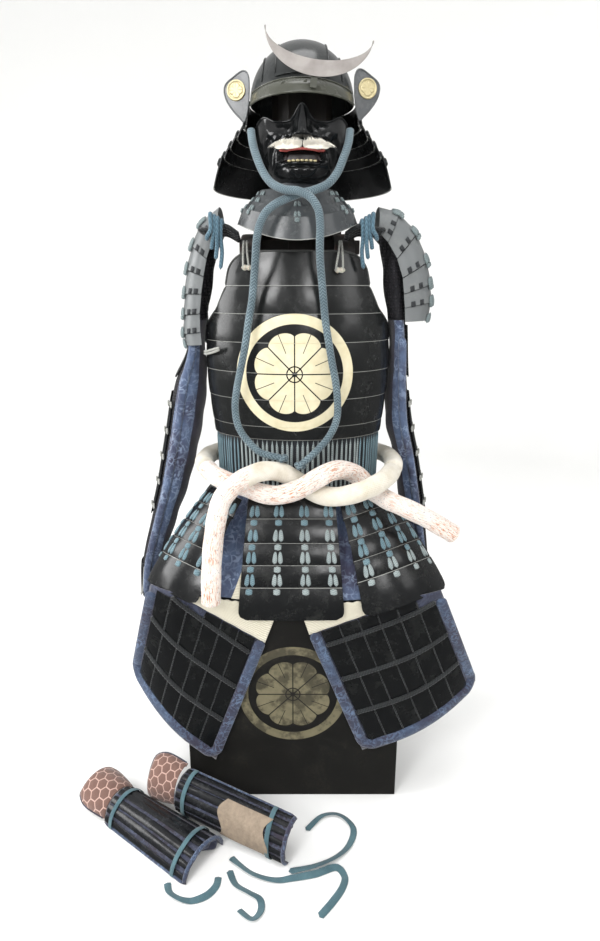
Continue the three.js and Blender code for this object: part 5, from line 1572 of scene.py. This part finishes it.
# ---- shin guards ----
# Two guards of narrow lacquered splints sewn on blue brocade lie on the ground, each with a padded knee piece quilted
# in a tortoiseshell pattern. Teal cotton tapes go round them at the knee and the ankle, and one has a leather patch.
kikko, tree, shader = finish_of("brown_cotton_quilted_in_hexagons")
net = add(tree, "UVMap", {})
cell = add(tree, "VectorMath", {0: net, 1: (1 / 0.024, 1 / 0.024, 0)}, operation="MULTIPLY")
pitch = (1.0, math.sqrt(3), 1.0)
first = add(tree, "VectorMath", {0: cell, 1: pitch}, operation="MODULO")
first = add(tree, "VectorMath", {0: first, 1: (0.5, math.sqrt(3) / 2, 0)}, operation="SUBTRACT")
second = add(tree, "VectorMath", {0: cell, 1: (0.5, math.sqrt(3) / 2, 0)}, operation="ADD")
second = add(tree, "VectorMath", {0: second, 1: pitch}, operation="MODULO")
second = add(tree, "VectorMath", {0: second, 1: (0.5, math.sqrt(3) / 2, 0)}, operation="SUBTRACT")
edges_from = []
for centre in (first, second):
    size = add(tree, "VectorMath", {0: centre}, operation="ABSOLUTE")
    slope = add(tree, "VectorMath", {0: size, 1: (0.5, math.sqrt(3) / 2, 0)}, 1, operation="DOT_PRODUCT")
    flat = add(tree, "SeparateXYZ", {0: size})
    edges_from.append(add(tree, "Math", {0: slope, 1: flat}, operation="MAXIMUM"))
hexagon = add(tree, "Math", {0: edges_from[0], 1: edges_from[1]}, operation="MINIMUM")
line = add(tree, "MapRange", {0: hexagon, 1: 0.435, 2: 0.46})
dome = add(tree, "MapRange", {0: hexagon, 1: 0.0, 2: 0.5, 3: 1.0, 4: 0.0})
place = add(tree, "TexCoord", {}, 3)
thread = add(tree, "TexNoise", {"Vector": place, "Scale": 420, "Detail": 4, "Roughness": 0.7})
faded = add(tree, "TexNoise", {"Vector": place, "Scale": 20, "Detail": 4})
brown = add(tree, "Mix", {0: faded, 6: linear("#7f5f53"), 7: linear("#59413a")}, 2, data_type="RGBA")
speck = add(tree, "MapRange", {0: thread, 1: 0.5, 2: 0.72, 3: 0.0, 4: 0.5})
brown = add(tree, "Mix", {0: speck, 6: brown, 7: linear("#5f4540")}, 2, data_type="RGBA")
colour = add(tree, "Mix", {0: line, 6: brown, 7: linear("#b4958a")}, 2, data_type="RGBA")
height = add(tree, "Math", {0: dome, 1: thread}, operation="ADD")
bump = add(tree, "Bump", {"Height": height, "Distance": 0.0016, "Strength": 0.6})
join(tree, shader, {"Base Color": colour, "Roughness": 0.88, "Normal": bump, "Sheen Weight": 0.25})
hide_patch, tree, shader = finish_of("beige_buckskin")
place = add(tree, "TexCoord", {}, 3)
grain = add(tree, "TexNoise", {"Vector": place, "Scale": 90, "Detail": 6, "Roughness": 0.7})
colour = add(tree, "Mix", {0: grain, 6: linear("#9f8f7c"), 7: linear("#5e5145")}, 2, data_type="RGBA")
bump = add(tree, "Bump", {"Height": grain, "Distance": 0.001, "Strength": 0.5})
join(tree, shader, {"Base Color": colour, "Roughness": 0.8, "Normal": bump})
# knee end, ankle end, roll in degrees, pad length, half width, height, flare, and the pad's shift sideways
shins = {
    "left": ((-475, -202), (-182, -398), 0, 92, 48, 54, 0.25, 2),
    "right": ((-311, -173), (15, -356), 65, 84, 48, 40, 0.0, 12),
}
for side, (start, end, roll, pad, w, h, flare, shift) in shins.items():
    along = Vector((end[0] - start[0], end[1] - start[1], 0))
    length = along.length
    along.normalize()
    across = Vector((-along.y, along.x, 0))
    lean = math.radians(roll)

    def ground_at(s, aside, up):
        lateral = -w + (aside + w) * math.cos(lean) - up * math.sin(lean)
        height = (aside + w) * math.sin(lean) + up * math.cos(lean)
        return Vector((start[0], start[1], max(0.0, height))) + along * s + across * lateral

    def shin_at(t, angle, lift=0.0):
        """t runs from the knee pad to the ankle, and angle from one long edge to the other."""
        turn = math.radians(angle)
        s = pad + 1.5 + (length - pad - 1.5) * t
        wide, high = w * (1 + flare * t) + lift, h * (1 - 0.12 * t) + lift
        return ground_at(s, wide * math.sin(turn), high * math.cos(turn))

    inside = ground_at(length * 0.6, 0, -20)
    bm = new_bmesh()
    add_net(
        bm, 48, 40, lambda u, v: shin_at(v, 178 * u - 89, -3 + 0.8 * math.sin(34 * u)), away=inside, real=(160, 250),
    )
    cloth = make_piece(f"shin_cloth_{side}", bm, [dark_brocade], [f"shin_guard_{side}"], wall=2)
    bm = new_bmesh()
    for k in range(7):
        middle = -75 + 25 * k + chance.uniform(-2, 2)
        half, sway = chance.uniform(8.2, 10.4), chance.uniform(-3, 3)

        def splint(u, v):
            t = 0.015 + 0.965 * v
            taper = 1 - 0.3 * max(0.0, 2 * v - 1) ** 3
            swell = 1.8 * (1 - (2 * u - 1) ** 2)
            return shin_at(t, middle + sway * math.sin(3 * v) + (2 * u - 1) * half * taper, -0.6 + swell)

        add_net(bm, 6, 26, splint, away=inside, real=(16, 250))
    splints = make_piece(f"shin_splints_{side}", bm, [splint_lacquer], wall=2, edge=0.7)
    bm = new_bmesh()
    hem = [shin_at(0.985, -88 + 176 * k / 24, -1.5) for k in range(25)]
    add_tube(bm, [Vector((x, y, max(z, 4.2))) for x, y, z in hem], 4.0, sides=10)
    for edge_angle in (-88, 88):
        edge_line = [shin_at(k / 20, edge_angle, -1) for k in range(21)]
        add_tube(bm, [Vector((x, y, max(z, 3.4))) for x, y, z in edge_line], 3.2, sides=8)
    hem_roll = make_piece(f"shin_hem_{side}", bm, [navy_brocade])
    bm = new_bmesh()
    for t0, wave in ((0.09, 0.006), (0.84, 0.02)):

        def strap(u, v):
            turn = 2 * math.pi * u
            angle = -86 + 172 * v
            wide = 7 * math.copysign(abs(math.cos(turn)) ** 0.4, math.cos(turn)) / length
            t = t0 + wave * math.sin(3 * v + 1) + wide
            return shin_at(t, angle, 2.6 + 0.9 * math.sin(turn) + 0.8 * math.sin(9 * v) ** 2)

        add_net(bm, 12, 40, strap, real=(30, 150))
    ties = make_piece(f"shin_ties_{side}", bm, [tape_cotton])
    bm = new_bmesh()
    heart = ground_at(length - 26, 0, h * 0.25)

    def stuffing(u, v):
        crease = math.sin(13 * u + 3 * v) * math.cos(9 * u - 5 * v)
        ring = shin_at(0.97, 172 * u - 86, -5)
        return ring.lerp(heart, v**1.4) + along * (7 * math.sin(math.pi * v) * (1 + crease) - 3)

    add_net(bm, 60, 24, stuffing, away=inside, real=(150, 60))
    crumple = make_piece(f"shin_lining_{side}", bm, [dark_brocade], wall=1.5)
    if side == "right":
        bm = new_bmesh()

        def patch(u, v):
            return shin_at(0.44 + 0.4 * v + 0.03 * math.sin(7 * u), -52 + 96 * u, 3.9 + 0.8 * math.sin(9 * u + 5 * v))

        add_net(bm, 28, 28, patch, away=inside, real=(75, 105))
        make_piece("shin_patch_right", bm, [hide_patch], wall=1.8, edge=0.5)
    pad_rows = [(0, 40, 1.1), (0.12, 58, 1.22), (0.35, 72, 1.25), (0.7, 78, 1.15), (1, 82, 1.02)]

    def pad_at(u, v, lift=0.0):
        reach, swell = between(pad_rows, v)
        turn = math.radians((2 * u - 1) * reach)
        rim = 1 - 0.06 * (max(abs(2 * u - 1), abs(2 * v - 1)) ** 8)
        dome = 1 - 0.34 * (1 - min(1.0, v / 0.22)) ** 2
        up = (h * swell * rim * dome + lift) * math.cos(turn)
        return ground_at(pad * v, shift + (w * swell * rim + lift) * math.sin(turn), up)

    bm = new_bmesh()
    add_net(bm, 44, 30, pad_at, away=ground_at(pad / 2, shift, -30), real=(150, 105))
    knee = make_piece(f"knee_pad_{side}_quilt", bm, [kikko], [f"knee_pad_{side}"], wall=9, edge=4)
    bm = new_bmesh()
    rim = [pad_at(0.01, 1 - k / 14, -2) for k in range(14)] + [pad_at(k / 20, 0.01, -2) for k in range(21)]
    rim += [pad_at(0.99, k / 14, -2) for k in range(1, 15)]
    add_tube(bm, [Vector((x, y, max(z, 3.6))) for x, y, z in rim], 3.4, sides=8)
    make_piece(f"knee_pad_{side}_binding", bm, [dark_brocade])

size = {"cad": [list(corner) for corner in cad_box], "visual": [list(corner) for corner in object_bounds()]}
